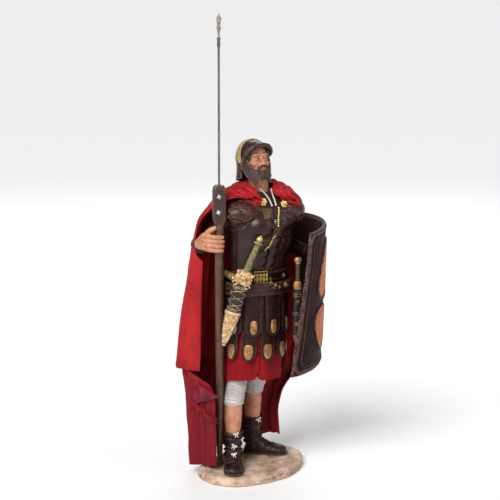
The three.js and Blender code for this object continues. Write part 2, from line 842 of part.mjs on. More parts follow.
function spearShank(grow) {
  const r = SHANK_DIAMETER / 2 / SCALE + grow;
  const top = SPEAR_LENGTH / SCALE;
  const rows = [
    [251, r * 0.9, r * 0.9],
    [top - 26, r, r],
    [top - 25.6, r * 1.35, r * 1.35],
    [top - 20, r * 1.35, r * 1.35],
    [top - 19.6, r * 0.9, r * 0.9],
    [top - 12.5, 2 + grow, 0.9 + grow],
    [top - 9, 1.5 + grow, 0.9 + grow],
    [top - 5, 2.3 + grow, 0.9 + grow],
    [top, 0.4 + grow, 0.3 + grow],
  ];
  return limb(
    rows.map(([h, a, b]) => [...spearAt(h).toArray(), a, b]),
    6,
    0,
    v3(1, -0.3, 0),
  );
}

const spearWood = join([spearShaft(0), spearBlock(0)]);
const spearAround = join([spearShaft(gap), spearBlock(gap)]);
const shank = spearShank(0);
const shankAround = spearShank(gap);

// Swords. Each has a hilt and a scabbard that hangs just off the skirt.
const SHORT_SWORD = [v3(-1.1, -31.4, 216.5), v3(-14.8, -29.4, 184), v3(-29.6, -17, 121.5)];
const LONG_SWORD = [v3(40, -20.6, 194), v3(39.8, -20.4, 171), v3(39, -19, 118)];

function hiltShape([top, mouth], grip, pommel, guard) {
  const at = (t) => mix3(top, mouth, t).toArray();
  const side = v3(1, -0.3, 0.4);
  return join([
    ellipsoid(...at(0.02), pommel, pommel, pommel, 6),
    limb([[...at(0.06), grip * 1.35], [...at(0.15), grip], [...at(0.86), grip]], 6, 0, side),
    limb(
      [
        [...at(0.78), guard * 0.55, guard * 0.5],
        [...at(0.9), guard, guard * 0.62],
        [...at(1.04), guard, guard * 0.62],
        [...at(1.16), guard * 0.7, guard * 0.5],
      ],
      8,
      0,
      side,
      3,
    ),
  ]);
}

function scabbardShape([top, mouth, tip], wide, thick) {
  const hilt = mouth.clone().sub(top);
  const start = mouth.clone().addScaledVector(hilt.clone().normalize(), 0.16 * hilt.length() + 1.4 + gap);
  const rows = [
    [0, 1, 1],
    [0.36, 0.94, 0.94],
    [0.38, 1.1, 1.1],
    [0.42, 1.1, 1.1],
    [0.66, 0.82, 0.86],
    [0.9, 0.4, 0.5],
    [1, 0.14, 0.2],
  ];
  const at = (t) => mix3(start, tip, t).toArray();
  return limb(
    rows.map(([t, w, k]) => [...at(t), wide * w, thick * k]),
    8,
    0,
    v3(1, -0.4, 0.4),
    2.4,
  );
}

// Cords lie on the front of the chest, given as [x, height] pairs.
function chestFront(x, z) {
  const [cx, cy, a, b] = station(TORSO, z);
  const dx = clamp(Math.abs((x - cx) / a), 0, 0.97);
  const rows = [cy - b * (1 - dx ** 2.2) ** (1 / 2.2)];
  [-1, 1].forEach((side) => {
    const pad = 1 - ((x - 14 - side * 10.5) / 11) ** 2 - ((z - 228) / 8.2) ** 2;
    if (pad > 0) rows.push(-19.8 + side - 6.8 * Math.sqrt(pad));
  });
  return Math.min(...rows);
}

function cord(pairs, radius) {
  const path = pairs.map(([x, z]) => [x, chestFront(x, z) - radius - gap - 0.35, z, radius]);
  return limb(path, 6, 0, v3(1, 0, 0.2));
}

const CHAIN = [[19.6, 245], [19.4, 238], [19, 230], [18.2, 224], [15.6, 218], [11, 212], [6.8, 206.5]];
const CORDS = [
  ["neck_chain", CHAIN, 0.9, 0xc8aa50],
  ["helmet_lace_right", [[5.4, 258], [9.6, 254], [12.6, 249], [14, 244]], 0.6, 0xd8d0c4],
  ["helmet_lace_left", [[15.6, 256.6], [16.6, 253], [17.4, 249], [18, 244.4]], 0.6, 0xd8d0c4],
];

function brooch(x, z, grow) {
  const y = chestFront(x, z) - 1.2;
  return ellipsoid(x, y, z, 3.6, 2.2, 3.6, 8, grow);
}

const BROOCHES = [
  ["brooch_right", 4.6, 248],
  ["brooch_left", 25.6, 246.4],
];

function wristRing(grow) {
  return limb(
    [
      [-39.8, 12, 207.6, 8, 7.6],
      [-41.6, 7.2, 208.2, 6.8, 6.4],
    ],
    7,
    grow,
  );
}

const guards = [-1, 1].map((side) => guardLayers(side, 0).subtract(around).subtract(cloakAround));
const studs = join(BROOCHES.map(([, x, z]) => brooch(x, z, gap)));
const cloak = cloakShape(0)
  .subtract(around)
  .subtract(helmetClear)
  .subtract(studs)
  .subtract(spearAround)
  .subtract(wristRing(3 * gap));

const pieces = {};
function add(name, solid, colour, roughness, metalness = 0) {
  const placed = largest(solid.simplify(FACET))
    .translate([0, 0, -DRAWN_FLOOR])
    .scale([SCALE, SCALE, SCALE])
    .translate([STAND_AT[0], STAND_AT[1], BASE_THICK]);
  pieces[name] = { solid: placed, colour, roughness, metalness };
}

function baseShape() {
  const rim = (z, inset) =>
    Array.from({ length: 28 }, (_, j) => {
      const a = (2 * Math.PI * j) / 28;
      const wobble = 1 + 0.018 * Math.sin(3 * a + 1) + 0.014 * Math.sin(5 * a + 2.2);
      const x = (BASE_LONG / 2 - inset) * Math.cos(a) * wobble;
      const y = (BASE_SHORT / 2 - inset) * Math.sin(a) * wobble;
      const turn = BASE_TURN * RAD;
      return v3(x * Math.cos(turn) - y * Math.sin(turn), x * Math.sin(turn) + y * Math.cos(turn), z);
    });
  return skin([rim(0, 1.2), rim(1.6, 0), rim(BASE_THICK - 2.4, 0.6), rim(BASE_THICK, 3.4)]);
}

pieces.base = { solid: baseShape(), colour: 0xc8a58c, roughness: 0.9, metalness: 0 };
add("figure", body.subtract(spearAround), 0x4a3232, 0.6);
add("helmet", helmet, 0x4c3838, 0.6);
add("helmet_crest", crest, 0xbea864, 0.5, 0.4);
add("cloak", cloak, 0xc03236, 0.9);
add("tunic", tunic, 0x96202a, 0.9);
add("skirt_strips_lower", lowerRow, 0x3c2a2a, 0.6);
add("skirt_strips_upper", upperRow, 0x3c2a2a, 0.6);
add("sash", sash, 0x46302e, 0.6);
add("belt", belt, 0x2c2020, 0.6);
plates.forEach(([name, solid]) => add(name, solid, 0xc8aa50, 0.4, 0.8));
add("shoulder_guard_right", guards[0].subtract(spearAround).subtract(studs), 0x503634, 0.6);
add("shoulder_guard_left", guards[1].subtract(studs), 0x503634, 0.6);
add("wristband", wristRing(0).subtract(around), 0x2c2020, 0.6);
CORDS.forEach(([name, pairs, radius, colour]) => add(name, cord(pairs, radius), colour, 0.5, 0));
BROOCHES.forEach(([name, x, z]) => add(name, brooch(x, z, 0).subtract(around), 0xc8aa50, 0.4, 0.8));
add("short_sword_hilt", hiltShape(SHORT_SWORD, 2.2, 2.6, 7.4).subtract(around), 0xb89a50, 0.4, 0.7);
add("short_sword_scabbard", scabbardShape(SHORT_SWORD, 6.4, 3.2), 0x2c2020, 0.6);
add("long_sword_hilt", hiltShape(LONG_SWORD, 1.8, 3, 3.6), 0xb89a50, 0.4, 0.7);
add("long_sword_scabbard", scabbardShape(LONG_SWORD, 4, 2.6), 0x1e1a1a, 0.6);
add("shield", shield, 0x4b3434, 0.7);
add("spear_shaft", spearWood.subtract(shankAround), 0x5f4b3e, 0.7);
add("spear_shank", shank, 0x5a6473, 0.4, 0.9);

const root = new THREE.Group();
for (const [name, { solid, colour, roughness, metalness }] of Object.entries(pieces)) {
  const mesh = solid.getMesh();
  const geometry = new THREE.BufferGeometry();
  const positions = new Float32Array(mesh.numVert * 3);
  for (let i = 0; i < mesh.numVert; i += 1) {
    positions.set(mesh.vertProperties.subarray(i * mesh.numProp, i * mesh.numProp + 3), i * 3);
  }
  geometry.setAttribute("position", new THREE.BufferAttribute(positions, 3));
  geometry.setIndex(new THREE.BufferAttribute(new Uint32Array(mesh.triVerts), 1));
  const material = new THREE.MeshStandardMaterial({ color: colour, roughness, metalness });
  const node = new THREE.Mesh(geometry, material);
  node.name = name;
  root.add(node);
}

export default root;
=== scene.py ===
# A standing Roman soldier with cloak, spear and shield on a small oval base.
import math
import random

import bmesh
import bpy
from mathutils import Matrix, Vector, noise
from mathutils.bvhtree import BVHTree


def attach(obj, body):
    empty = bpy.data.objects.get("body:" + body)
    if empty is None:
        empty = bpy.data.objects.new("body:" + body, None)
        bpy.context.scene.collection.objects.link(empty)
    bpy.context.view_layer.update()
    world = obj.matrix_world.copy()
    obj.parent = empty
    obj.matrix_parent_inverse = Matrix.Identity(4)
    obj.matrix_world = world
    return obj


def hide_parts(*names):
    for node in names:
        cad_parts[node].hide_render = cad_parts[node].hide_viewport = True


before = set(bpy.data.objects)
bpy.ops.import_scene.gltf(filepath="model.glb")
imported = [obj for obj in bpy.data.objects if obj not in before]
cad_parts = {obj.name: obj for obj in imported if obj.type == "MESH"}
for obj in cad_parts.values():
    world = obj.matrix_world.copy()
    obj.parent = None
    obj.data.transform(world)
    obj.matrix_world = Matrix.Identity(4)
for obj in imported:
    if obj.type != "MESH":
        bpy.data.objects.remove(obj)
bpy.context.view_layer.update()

bpy.ops.object.select_all(action="DESELECT")

MM = 0.001
STAND = Vector((-4.0, 2.0, 0.0))  # where the figure stands from the middle of the base, in mm
FLOOR = 8.0
RAD = math.pi / 180
DETAIL = 2
ACROSS, DEEP, UP = Vector((1, 0, 0)), Vector((0, 1, 0)), Vector((0, 0, 1))
SIDES = ((-1, "right"), (1, "left"))

# The camera looks a little down and from the soldier's right. Values that end in SPOTS are places
# in its frame of 500 by 500, and details are set where its lines through them meet the pieces.
EYE = Vector((-0.48146, -1.18589, 0.42774))
AIM = Vector((-0.00187, 0.00114, 0.202))
LENS, FILM, PIXELS = 105.8, 36.0, 500


def set_camera():
    """The camera that the photograph seems to have been taken with."""
    data = bpy.data.cameras.new("camera")
    data.lens = LENS
    data.sensor_width = FILM
    camera = bpy.data.objects.new("camera", data)
    bpy.context.scene.collection.objects.link(camera)
    camera.location = EYE
    camera.rotation_euler = (AIM - EYE).to_track_quat("-Z", "Y").to_euler()
    bpy.context.scene.camera = camera


set_camera()
bpy.context.scene.view_settings.view_transform = "Standard"


def mix(a, b, t):
    return a + (b - a) * t


def clamp(x, low=0.0, high=1.0):
    return min(high, max(low, x))


def ease(t):
    t = clamp(t)
    return t * t * (3 - 2 * t)


def bump(x, width):
    return math.exp(-((x / width) ** 2))


def steps_to(count, end=1.0):
    """Even steps from 0 to an end, both among them."""
    return [end * k / count for k in range(count + 1)]


def round_angles(count):
    return [2 * math.pi * k / count for k in range(count)]


def station(rows, z):
    """The values of rows, whose first numbers are heights, run smoothly to height z."""
    rows = sorted(rows)
    if z <= rows[0][0]:
        return list(rows[0][1:])
    if z >= rows[-1][0]:
        return list(rows[-1][1:])
    i = next(k for k in range(len(rows) - 1) if rows[k + 1][0] >= z)
    a, b = rows[i], rows[i + 1]
    before, after = rows[max(i - 1, 0)], rows[min(i + 2, len(rows) - 1)]
    high = b[0] - a[0]
    t = (z - a[0]) / high
    out = []
    for k in range(1, len(a)):
        slope_a = (b[k] - before[k]) / (b[0] - before[0]) * high
        slope_b = (after[k] - a[k]) / (after[0] - a[0]) * high
        out.append(
            (2 * t**3 - 3 * t**2 + 1) * a[k]
            + (t**3 - 2 * t**2 + t) * slope_a
            + (3 * t**2 - 2 * t**3) * b[k]
            + (t**3 - t**2) * slope_b
        )
    return out


def smooth_run(rows, per):
    """Rows of numbers run smoothly through each row, with per steps between two."""
    out = []
    last = len(rows) - 1
    for i in range(last):
        four = [rows[max(i - 1, 0)], rows[i], rows[i + 1], rows[min(i + 2, last)]]
        for k in range(per):
            t = k / per
            out.append([
                0.5 * (2 * b + (c - a) * t + (2 * a - 5 * b + 4 * c - d) * t * t
                       + (3 * b - a - 3 * c + d) * t**3)
                for a, b, c, d in zip(*four)
            ])
    out.append(list(rows[-1]))
    return out


# A shape is its points in mm, its faces, and a UV in mm for each corner of each face.
def joined(*shapes):
    points, faces, uvs = [], [], []
    for p, f, u in shapes:
        start = len(points)
        points += p
        faces += [[start + k for k in face] for face in f]
        uvs += u
    return points, faces, uvs


def ringed(rings, ends=True):
    """Closed rings of equal length joined side by side, with a fan over each end."""
    n = len(rings[0])
    points = [Vector(p) for ring in rings for p in ring]
    faces, uvs = [], []
    middles = [sum((Vector(p) for p in ring), Vector()) / n for ring in rings]
    run = [0.0]
    for a, b in zip(middles, middles[1:]):
        run.append(run[-1] + (b - a).length)
    girth = 2 * math.pi * max((Vector(r[0]) - m).length for r, m in zip(rings, middles))
    for i in range(len(rings) - 1):
        for j in range(n):
            k = (j + 1) % n
            faces.append([i * n + j, i * n + k, (i + 1) * n + k, (i + 1) * n + j])
            u, w = girth * j / n, girth * (j + 1) / n
            uvs += [(u, run[i]), (w, run[i]), (w, run[i + 1]), (u, run[i + 1])]
    if ends:
        for start, middle in ((0, middles[0]), ((len(rings) - 1) * n, middles[-1])):
            points.append(middle)
            for j in range(n):
                k = (j + 1) % n
                faces.append([len(points) - 1, start + k, start + j])
                uvs += [(0.0, 0.0)] * 3
    return points, faces, uvs


def oval(centre, across, along, rx, ry, count, square=2.0):
    """A ring of points about a centre, an ellipse where square is 2 and squarer above it."""
    ring = []
    for j in range(count):
        a = 2 * math.pi * (j + 0.5) / count
        c, s = math.cos(a), math.sin(a)
        x = math.copysign(abs(c) ** (2 / square), c) * rx
        y = math.copysign(abs(s) ** (2 / square), s) * ry
        ring.append(centre + across * x + along * y)
    return ring


def level_oval(x, y, z, rx, ry, count, square=2.0):
    return oval(Vector((x, y, z)), ACROSS, DEEP, rx, ry, count, square)


def limb(stations, count=24, per=5, side=ACROSS, square=2.0):
    """A limb through stations (x, y, z, half width, half depth)."""
    full = [list(s) + [s[3]] * (5 - len(s)) for s in stations]
    rows = smooth_run(full, per)
    at = [Vector(r[:3]) for r in rows]
    side = Vector(side)
    last = len(at) - 1
    rings = []
    for i, r in enumerate(rows):
        run = (at[min(i + 1, last)] - at[max(i - 1, 0)]).normalized()
        across = (side - run * side.dot(run)).normalized()
        rings.append(oval(at[i], across, run.cross(across), r[3], r[4], count, square))
    return ringed(rings)


def upright(rows, count, levels):
    """A form of level ovals through rows of height, middle and half sizes."""
    low, high = min(r[0] for r in rows), max(r[0] for r in rows)
    rings = []
    for t in steps_to(levels):
        z = mix(low, high, t)
        x, y, a, b = station(rows, z)
        rings.append(level_oval(x, y, z, a, b, count))
    return ringed(rings)


def ball(x, y, z, rx, ry, rz, count=24):
    levels = count // 2
    rings = []
    for i in range(1, levels):
        a = math.pi * i / levels - math.pi / 2
        rings.append(level_oval(x, y, z + math.sin(a) * rz, rx * math.cos(a), ry * math.cos(a), count))
    points, faces, uvs = ringed(rings)
    points[-2] = Vector((x, y, z - rz))
    points[-1] = Vector((x, y, z + rz))
    return points, faces, uvs


def sheet(surface, across, down, thick, size=(20, 40)):
    """A cloth or plate of a thickness laid over surface(s, t), with s and t from 0 to 1."""
    ss = across if isinstance(across, list) else steps_to(across)
    tt = down if isinstance(down, list) else steps_to(down)
    w, e = len(ss), 1e-3
    out, back = [], []
    for t in tt:
        for s in ss:
            p = surface(s, t)
            ds = surface(min(s + e, 1), t) - surface(max(s - e, 0), t)
            dt = surface(s, min(t + e, 1)) - surface(s, max(t - e, 0))
            n = ds.cross(dt).normalized() * (thick / 2)
            out.append(p + n)
            back.append(p - n)
    half = len(out)
    faces, uvs = [], []

    def uv(s, t):
        return (s * size[0], t * size[1])

    for i in range(len(tt) - 1):
        for j in range(w - 1):
            a = i * w + j
            corners = [uv(ss[j], tt[i]), uv(ss[j + 1], tt[i]),
                       uv(ss[j + 1], tt[i + 1]), uv(ss[j], tt[i + 1])]
            faces.append([a, a + 1, a + w + 1, a + w])
            uvs += corners
            faces.append([half + a, half + a + w, half + a + w + 1, half + a + 1])
            uvs += [corners[0], corners[3], corners[2], corners[1]]
    edges = [(j + 1, j) for j in range(w - 1)]
    edges += [((len(tt) - 1) * w + j, (len(tt) - 1) * w + j + 1) for j in range(w - 1)]
    edges += [(i * w, (i + 1) * w) for i in range(len(tt) - 1)]
    edges += [((i + 1) * w + w - 1, i * w + w - 1) for i in range(len(tt) - 1)]
    for a, b in edges:
        faces.append([a, b, half + b, half + a])
        uvs += [uv(ss[a % w], tt[a // w]), uv(ss[b % w], tt[b // w])] * 2
    return out + back, faces, uvs


def hoop(surface, section, count=96):
    """A ring whose cross-section is a list of (out, z), set off from surface(angle, z, out)."""
    n = len(section)
    points, faces, uvs = [], [], []
    for a in round_angles(count):
        points += [surface(a, z, out) for out, z in section]
    for j in range(count):
        for k in range(n):
            m, q = (k + 1) % n, (j + 1) % count
            faces.append([j * n + k, q * n + k, q * n + m, j * n + m])
            u, w = 150.0 * j / count, 150.0 * (j + 1) / count
            uvs += [(u, k), (w, k), (w, k + 1), (u, k + 1)]
    return points, faces, uvs


def sweep(path, radius, count=8, per=4, looped=False, flat=1.0):
    """A cord of one radius, or of one per point, along a path."""
    path = [list(p) for p in path]
    if looped:
        path = path + [path[0]]
    radii = radius if isinstance(radius, list) else [radius] * len(path)
    rows = smooth_run([p + [r] for p, r in zip(path, radii)], per)
    if looped:
        rows = rows[:-1]
    at = [Vector(r[:3]) for r in rows]
    n = len(at)
    across = None
    rings = []
    for i, r in enumerate(rows):
        ahead = at[(i + 1) % n] if looped else at[min(i + 1, n - 1)]
        behind = at[i - 1] if looped or i else at[0]
        run = (ahead - behind).normalized()
        if across is None:
            across = run.cross(Vector((0.31, 0.22, 0.92)))
        across = (across - run * across.dot(run)).normalized()
        along = run.cross(across)
        ring = []
        for turn in round_angles(count):
            ring.append(at[i] + across * math.cos(turn) * r[3] + along * math.sin(turn) * r[3] * flat)
        rings.append(ring)
    if looped:
        rings.append(rings[0])
    return ringed(rings, ends=not looped)


def moved(shape, matrix):
    """A shape carried into a frame."""
    return [matrix @ p for p in shape[0]], shape[1], shape[2]


def framed(at, across, along, out):
    """A frame set at a point, from its three directions."""
    return Matrix.Translation(at) @ Matrix((across, along, out)).transposed().to_4x4()


def placed(p):
    """From the figure's own mm to the frame's metres."""
    return ((p[0] + STAND[0]) * MM, (p[1] + STAND[1]) * MM, p[2] * MM)


def drawn(p):
    """From the frame's metres back to the figure's own mm."""
    return Vector((p[0] / MM - STAND[0], p[1] / MM - STAND[1], p[2] / MM))


def facing_eye(spot):
    """A frame at a spot in mm that looks from there to the camera."""
    out = (drawn(EYE) - spot).normalized()
    return Matrix.Translation(spot) @ out.to_track_quat("Z", "Y").to_matrix().to_4x4()


def take(obj, finish, node, angle=50):
    """Gives a finished object its material and its body, and hides the model's part that it stands for."""
    obj.data.materials.clear()
    obj.data.materials.append(finish)
    obj.data.shade_smooth()
    obj.data.set_sharp_from_angle(angle=angle * RAD)
    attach(obj, "root")
    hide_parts(node)
    return obj


def raw(name, shape):
    """A mesh object of a shape, its doubles merged and its faces turned outwards."""
    points, faces, uvs = shape
    mesh = bpy.data.meshes.new(name)
    mesh.from_pydata([placed(p) for p in points], [], faces)
    layer = mesh.uv_layers.new(name="UVMap")
    layer.data.foreach_set("uv", [c for uv in uvs for c in uv])
    form = bmesh.new()
    form.from_mesh(mesh)
    bmesh.ops.remove_doubles(form, verts=form.verts, dist=2e-6)
    bmesh.ops.recalc_face_normals(form, faces=form.faces)
    form.to_mesh(mesh)
    form.free()
    obj = bpy.data.objects.new(name, mesh)
    bpy.context.scene.collection.objects.link(obj)
    return obj


def apply_modifiers(obj):
    bpy.ops.object.select_all(action="DESELECT")
    bpy.context.view_layer.objects.active = obj
    obj.select_set(True)
    for modifier in list(obj.modifiers):
        bpy.ops.object.modifier_apply(modifier=modifier.name)
    obj.select_set(False)


def piece(name, shape, finish, node, angle=50):
    return take(raw(name, shape), finish, node, angle)


def fused(name, shape, finish, node, voxel=0.5, rounds=4, cuts=()):
    """Shapes that run into each other, made one skin and softened like worked clay."""
    obj = raw(name, shape)
    remesh = obj.modifiers.new("fuse", "REMESH")
    remesh.mode = "VOXEL"
    remesh.voxel_size = voxel * MM * (3 - DETAIL)
    apply_modifiers(obj)
    for number, hollow in enumerate(cuts):
        tool = raw("%s_cut_%d" % (name, number), hollow)
        knife = obj.modifiers.new("cut", "BOOLEAN")
        knife.object = tool
        knife.operation = "DIFFERENCE"
        knife.solver = "EXACT"
        apply_modifiers(obj)
        bpy.data.objects.remove(tool)
    soft = obj.modifiers.new("soft", "SMOOTH")
    soft.factor = 0.5
    soft.iterations = rounds
    apply_modifiers(obj)
    return take(obj, finish, node, 180)


def along_spots(spots, step):
    """Spots of the frame spaced evenly along a line through the given ones."""
    out = [spots[0]]
    for a, b in zip(spots, spots[1:]):
        count = max(1, round(math.dist(a, b) / step))
        out += [(mix(a[0], b[0], k / count), mix(a[1], b[1], k / count)) for k in range(1, count + 1)]
    return out


def seen(spots, carriers, lift=0.0):
    """Where the camera's lines through spots of its frame meet the carrying pieces, in mm."""
    ahead = (AIM - EYE).normalized()
    right = ahead.cross(UP).normalized()
    up = right.cross(ahead)
    focal = LENS / FILM * PIXELS
    trees = [BVHTree.FromObject(o, bpy.context.evaluated_depsgraph_get()) for o in carriers]
    found = []
    for x, y in spots:
        over, rise = x - PIXELS / 2, PIXELS / 2 - y
        line = (ahead + right * (over / focal) + up * (rise / focal)).normalized()
        hits = [tree.ray_cast(EYE, line) for tree in trees]
        hits = [h for h in hits if h[0] is not None]
        if hits:
            spot, normal = min(hits, key=lambda h: h[3])[:2]
            if normal.dot(line) > 0:
                normal = -normal
            found.append(drawn(spot + normal * lift * MM))
    return found


def srgb(r, g, b):
    """A colour from 0 to 255 in the values that shaders take."""
    line = [((c / 255 + 0.055) / 1.055) ** 2.4 if c > 10 else c / 255 / 12.92 for c in (r, g, b)]
    return (*line, 1.0)


def group(name, inputs, outputs):
    """A node group with number inputs and their first values, and number outputs."""
    tree = bpy.data.node_groups.new(name, "ShaderNodeTree")
    for label, value in inputs:
        made = tree.interface.new_socket(label, in_out="INPUT", socket_type="NodeSocketFloat")
        made.default_value = value
    for label in outputs:
        tree.interface.new_socket(label, in_out="OUTPUT", socket_type="NodeSocketFloat")
    return tree, tree.nodes.new("NodeGroupInput"), tree.nodes.new("NodeGroupOutput")


def node(tree, kind, links=(), **values):
    """A node of a tree with its settings, its input values and its links by input name."""
    made = tree.nodes.new("ShaderNode" + kind)
    for key, value in values.items():
        if hasattr(made, key):
            setattr(made, key, value)
    for key, source in dict(links).items():
        if hasattr(source, "node"):
            tree.links.new(source, made.inputs[key])
        else:
            made.inputs[key].default_value = source
    return made


def math_node(tree, operation, a, b=0.0):
    return node(tree, "Math", {0: a, 1: b}, operation=operation).outputs[0]


def grain_group():
    """Fine grain, large patches, small cracks, and a mask for what hangs low, where shade is painted on."""
    tree, given, out = group("surface_grain", [("Scale", 900.0), ("Patch", 90.0)],
                             ["Height", "Patch", "Crackle", "Low_shade"])
    at = node(tree, "TexCoord").outputs["Object"]
    fine = node(tree, "TexNoise", {"Vector": at, "Scale": given.outputs["Scale"], "Detail": 5.0,
                                   "Roughness": 0.62})
    patch = node(tree, "TexNoise", {"Vector": at, "Scale": given.outputs["Patch"], "Detail": 3.0,
                                    "Roughness": 0.6, "Distortion": 0.4})
    spread = node(tree, "MapRange", {"Value": patch.outputs[0], "From Min": 0.35, "From Max": 0.68})
    cells = node(tree, "TexVoronoi", {"Vector": at, "Scale": given.outputs["Scale"]},
                 feature="DISTANCE_TO_EDGE")
    crackle = node(tree, "MapRange", {"Value": cells.outputs["Distance"], "From Max": 0.16})
    # painted shade: this mask grows from 108 mm down to 82 mm, so what hangs low is painted darker
    height = node(tree, "SeparateXYZ", {"Vector": at}).outputs["Z"]
    low = node(tree, "MapRange", {"Value": height, "From Min": 0.108, "From Max": 0.082})
    tree.links.new(low.outputs[0], out.inputs["Low_shade"])
    tree.links.new(fine.outputs[0], out.inputs["Height"])
    tree.links.new(spread.outputs[0], out.inputs["Patch"])
    tree.links.new(crackle.outputs[0], out.inputs["Crackle"])
    return tree


def wear_group():
    """Masks of the rubbed edges, and of the hollows, where a dark wash and painted shade go."""
    tree, given, out = group("surface_wear", [("Reach", 0.04), ("Scale", 400.0)], ["Edge", "Hollow_wash_and_shade"])
    point = node(tree, "NewGeometry").outputs["Pointiness"]
    at = node(tree, "TexCoord").outputs["Object"]
    rub = node(tree, "TexNoise", {"Vector": at, "Scale": given.outputs["Scale"], "Detail": 3.0})
    broken = node(tree, "MapRange", {"Value": rub.outputs[0], "From Min": 0.36, "From Max": 0.6})
    over = math_node(tree, "SUBTRACT", point, 0.5)
    edge = node(tree, "MapRange", {"Value": over, "From Min": 0.006, "From Max": given.outputs["Reach"]})
    under = math_node(tree, "MULTIPLY", over, -1.0)
    hollow = node(tree, "MapRange", {"Value": under, "From Min": 0.004,
                                     "From Max": given.outputs["Reach"]})
    tree.links.new(math_node(tree, "MULTIPLY", edge.outputs[0], broken.outputs[0]), out.inputs["Edge"])
    tree.links.new(hollow.outputs[0], out.inputs["Hollow_wash_and_shade"])
    return tree


def weave_group():
    """Crossed threads along the UV, with ribs one way."""
    tree, given, out = group("woven", [("Pitch", 0.8), ("Rib", 0.0)], ["Height"])
    uv = node(tree, "SeparateXYZ", {"Vector": node(tree, "UVMap").outputs["UV"]})
    turns = math_node(tree, "DIVIDE", 2 * math.pi, given.outputs["Pitch"])
    waves = [
        math_node(tree, "SINE", math_node(tree, "MULTIPLY", uv.outputs[k], turns)) for k in (0, 1)
    ]
    crossed = math_node(tree, "MULTIPLY", waves[0], waves[1])
    ribs = math_node(tree, "MULTIPLY", waves[0], given.outputs["Rib"])
    tree.links.new(math_node(tree, "ADD", crossed, ribs), out.inputs["Height"])
    return tree


GRAIN, WEAR, WEAVE = grain_group(), wear_group(), weave_group()
# The low colour is shade painted on what hangs low, mainly the lower cloak.
PAINTED_SHADE_SHARE = 0.75  # how much of the low colour shows near the hem
MIX_BY, MIX_A, MIX_B = 0, 6, 7  # the sockets that a Mix node uses for colours


def mixed(tree, by, below, above):
    values = {MIX_BY: by, MIX_A: below, MIX_B: above}
    return node(tree, "Mix", values, data_type="RGBA").outputs[2]


def tinted(tree, below, mask, share, colour):
    """A colour laid over another where a mask shows it."""
    return mixed(tree, math_node(tree, "MULTIPLY", mask, share), below, srgb(*colour))


def finish(name, colour, deep, rough=0.6, metal=0.0, scale=900.0, patch=90.0, bumps=0.2,
           crackle=0.0, edge=None, hollow=None, edge_by=0.7, wash_and_shade_by=0.8, reach=0.04,
           weave=None, rib=0.0, weave_by=0.5, rough_by=0.15, low=None, **plain):
    """A surface of two mixed colours with grain, rubbed edges, a dark wash in the hollows that also paints
    shade there, painted shade low down where given, and weave.
    """
    made = bpy.data.materials.new(name)
    made.use_nodes = True
    tree = made.node_tree
    shader = tree.nodes["Principled BSDF"]
    grain = node(tree, "Group", {"Scale": scale, "Patch": patch}, node_tree=GRAIN)
    last = mixed(tree, grain.outputs["Patch"], srgb(*colour), srgb(*deep))
    # painted shade: the low colour darkens what hangs below about 100 mm
    if low:
        last = tinted(tree, last, grain.outputs["Low_shade"], PAINTED_SHADE_SHARE, low)
    wear = node(tree, "Group", {"Reach": reach}, node_tree=WEAR)
    # Hollows take a dark wash colour that also paints shade into them; rubbed edges take a paler colour.
    for mask, tint, share in (("Hollow_wash_and_shade", hollow, wash_and_shade_by), ("Edge", edge, edge_by)):
        if tint:
            last = tinted(tree, last, wear.outputs[mask], share, tint)
    tree.links.new(last, shader.inputs["Base Color"])
    spread = node(tree, "MapRange", {"Value": grain.outputs["Height"], "To Min": rough - rough_by,
                                     "To Max": rough + rough_by})
    tree.links.new(spread.outputs[0], shader.inputs["Roughness"])
    shader.inputs["Metallic"].default_value = metal
    height = grain.outputs["Height"]
    if crackle:
        cells = math_node(tree, "MULTIPLY", grain.outputs["Crackle"], crackle)
        height = math_node(tree, "ADD", height, cells)
    if weave:
        cloth = node(tree, "Group", {"Pitch": weave, "Rib": rib}, node_tree=WEAVE)
        threads = math_node(tree, "MULTIPLY", cloth.outputs["Height"], weave_by)
        height = math_node(tree, "ADD", height, threads)
    relief = node(tree, "Bump", {"Height": height, "Strength": bumps, "Distance": 0.0006})
    tree.links.new(relief.outputs[0], shader.inputs["Normal"])
    for key, value in plain.items():
        shader.inputs[key.replace("_", " ").title().replace("Ior", "IOR")].default_value = value
    return made


CLAY = finish("sandy_clay", (208, 182, 162), (142, 108, 86), 0.85, scale=700, patch=90, bumps=0.6,
              edge=(212, 180, 156), hollow=(104, 72, 52))
SKIN = finish("painted_skin", (198, 140, 106), (168, 104, 76), 0.5, scale=500, patch=160, bumps=0.08,
              hollow=(112, 58, 40), wash_and_shade_by=0.8, edge=(220, 174, 140), edge_by=0.3, reach=0.05,
              subsurface_weight=0.08, subsurface_scale=0.002)
KNIT = finish("knitted_breeches", (238, 230, 224), (212, 202, 194), 0.9, scale=900, bumps=0.9,
              weave=1.7, rib=0.6, weave_by=1.1, hollow=(140, 126, 116))
CUIRASS = finish("cuirass_leather", (54, 29, 26), (28, 15, 15), 0.3, scale=300, patch=70, bumps=0.14,
                 edge=(104, 66, 54), edge_by=0.4, hollow=(14, 8, 8), rough_by=0.08,
                 specular_ior_level=0.36)
BOOT = finish("boot_leather", (50, 28, 24), (18, 11, 12), 0.34, scale=600, bumps=0.4,
              edge=(110, 86, 70), edge_by=0.6, hollow=(16, 10, 10), specular_ior_level=0.3)
HAIR = finish("painted_hair", (88, 70, 60), (50, 37, 31), 0.7, scale=1600, bumps=0.6,
              hollow=(22, 16, 14))
HELMET = finish("helmet_leather", (58, 32, 30), (30, 17, 18), 0.34, scale=700, patch=120, bumps=0.35,
                crackle=0.12, edge=(140, 108, 92), edge_by=0.6, hollow=(30, 20, 20),
                specular_ior_level=0.3)
PEBBLED = finish("pebbled_leather", (92, 62, 64), (62, 38, 40), 0.4, scale=1100, patch=200,
                 bumps=0.9, crackle=0.7, edge=(150, 122, 114), edge_by=0.4)
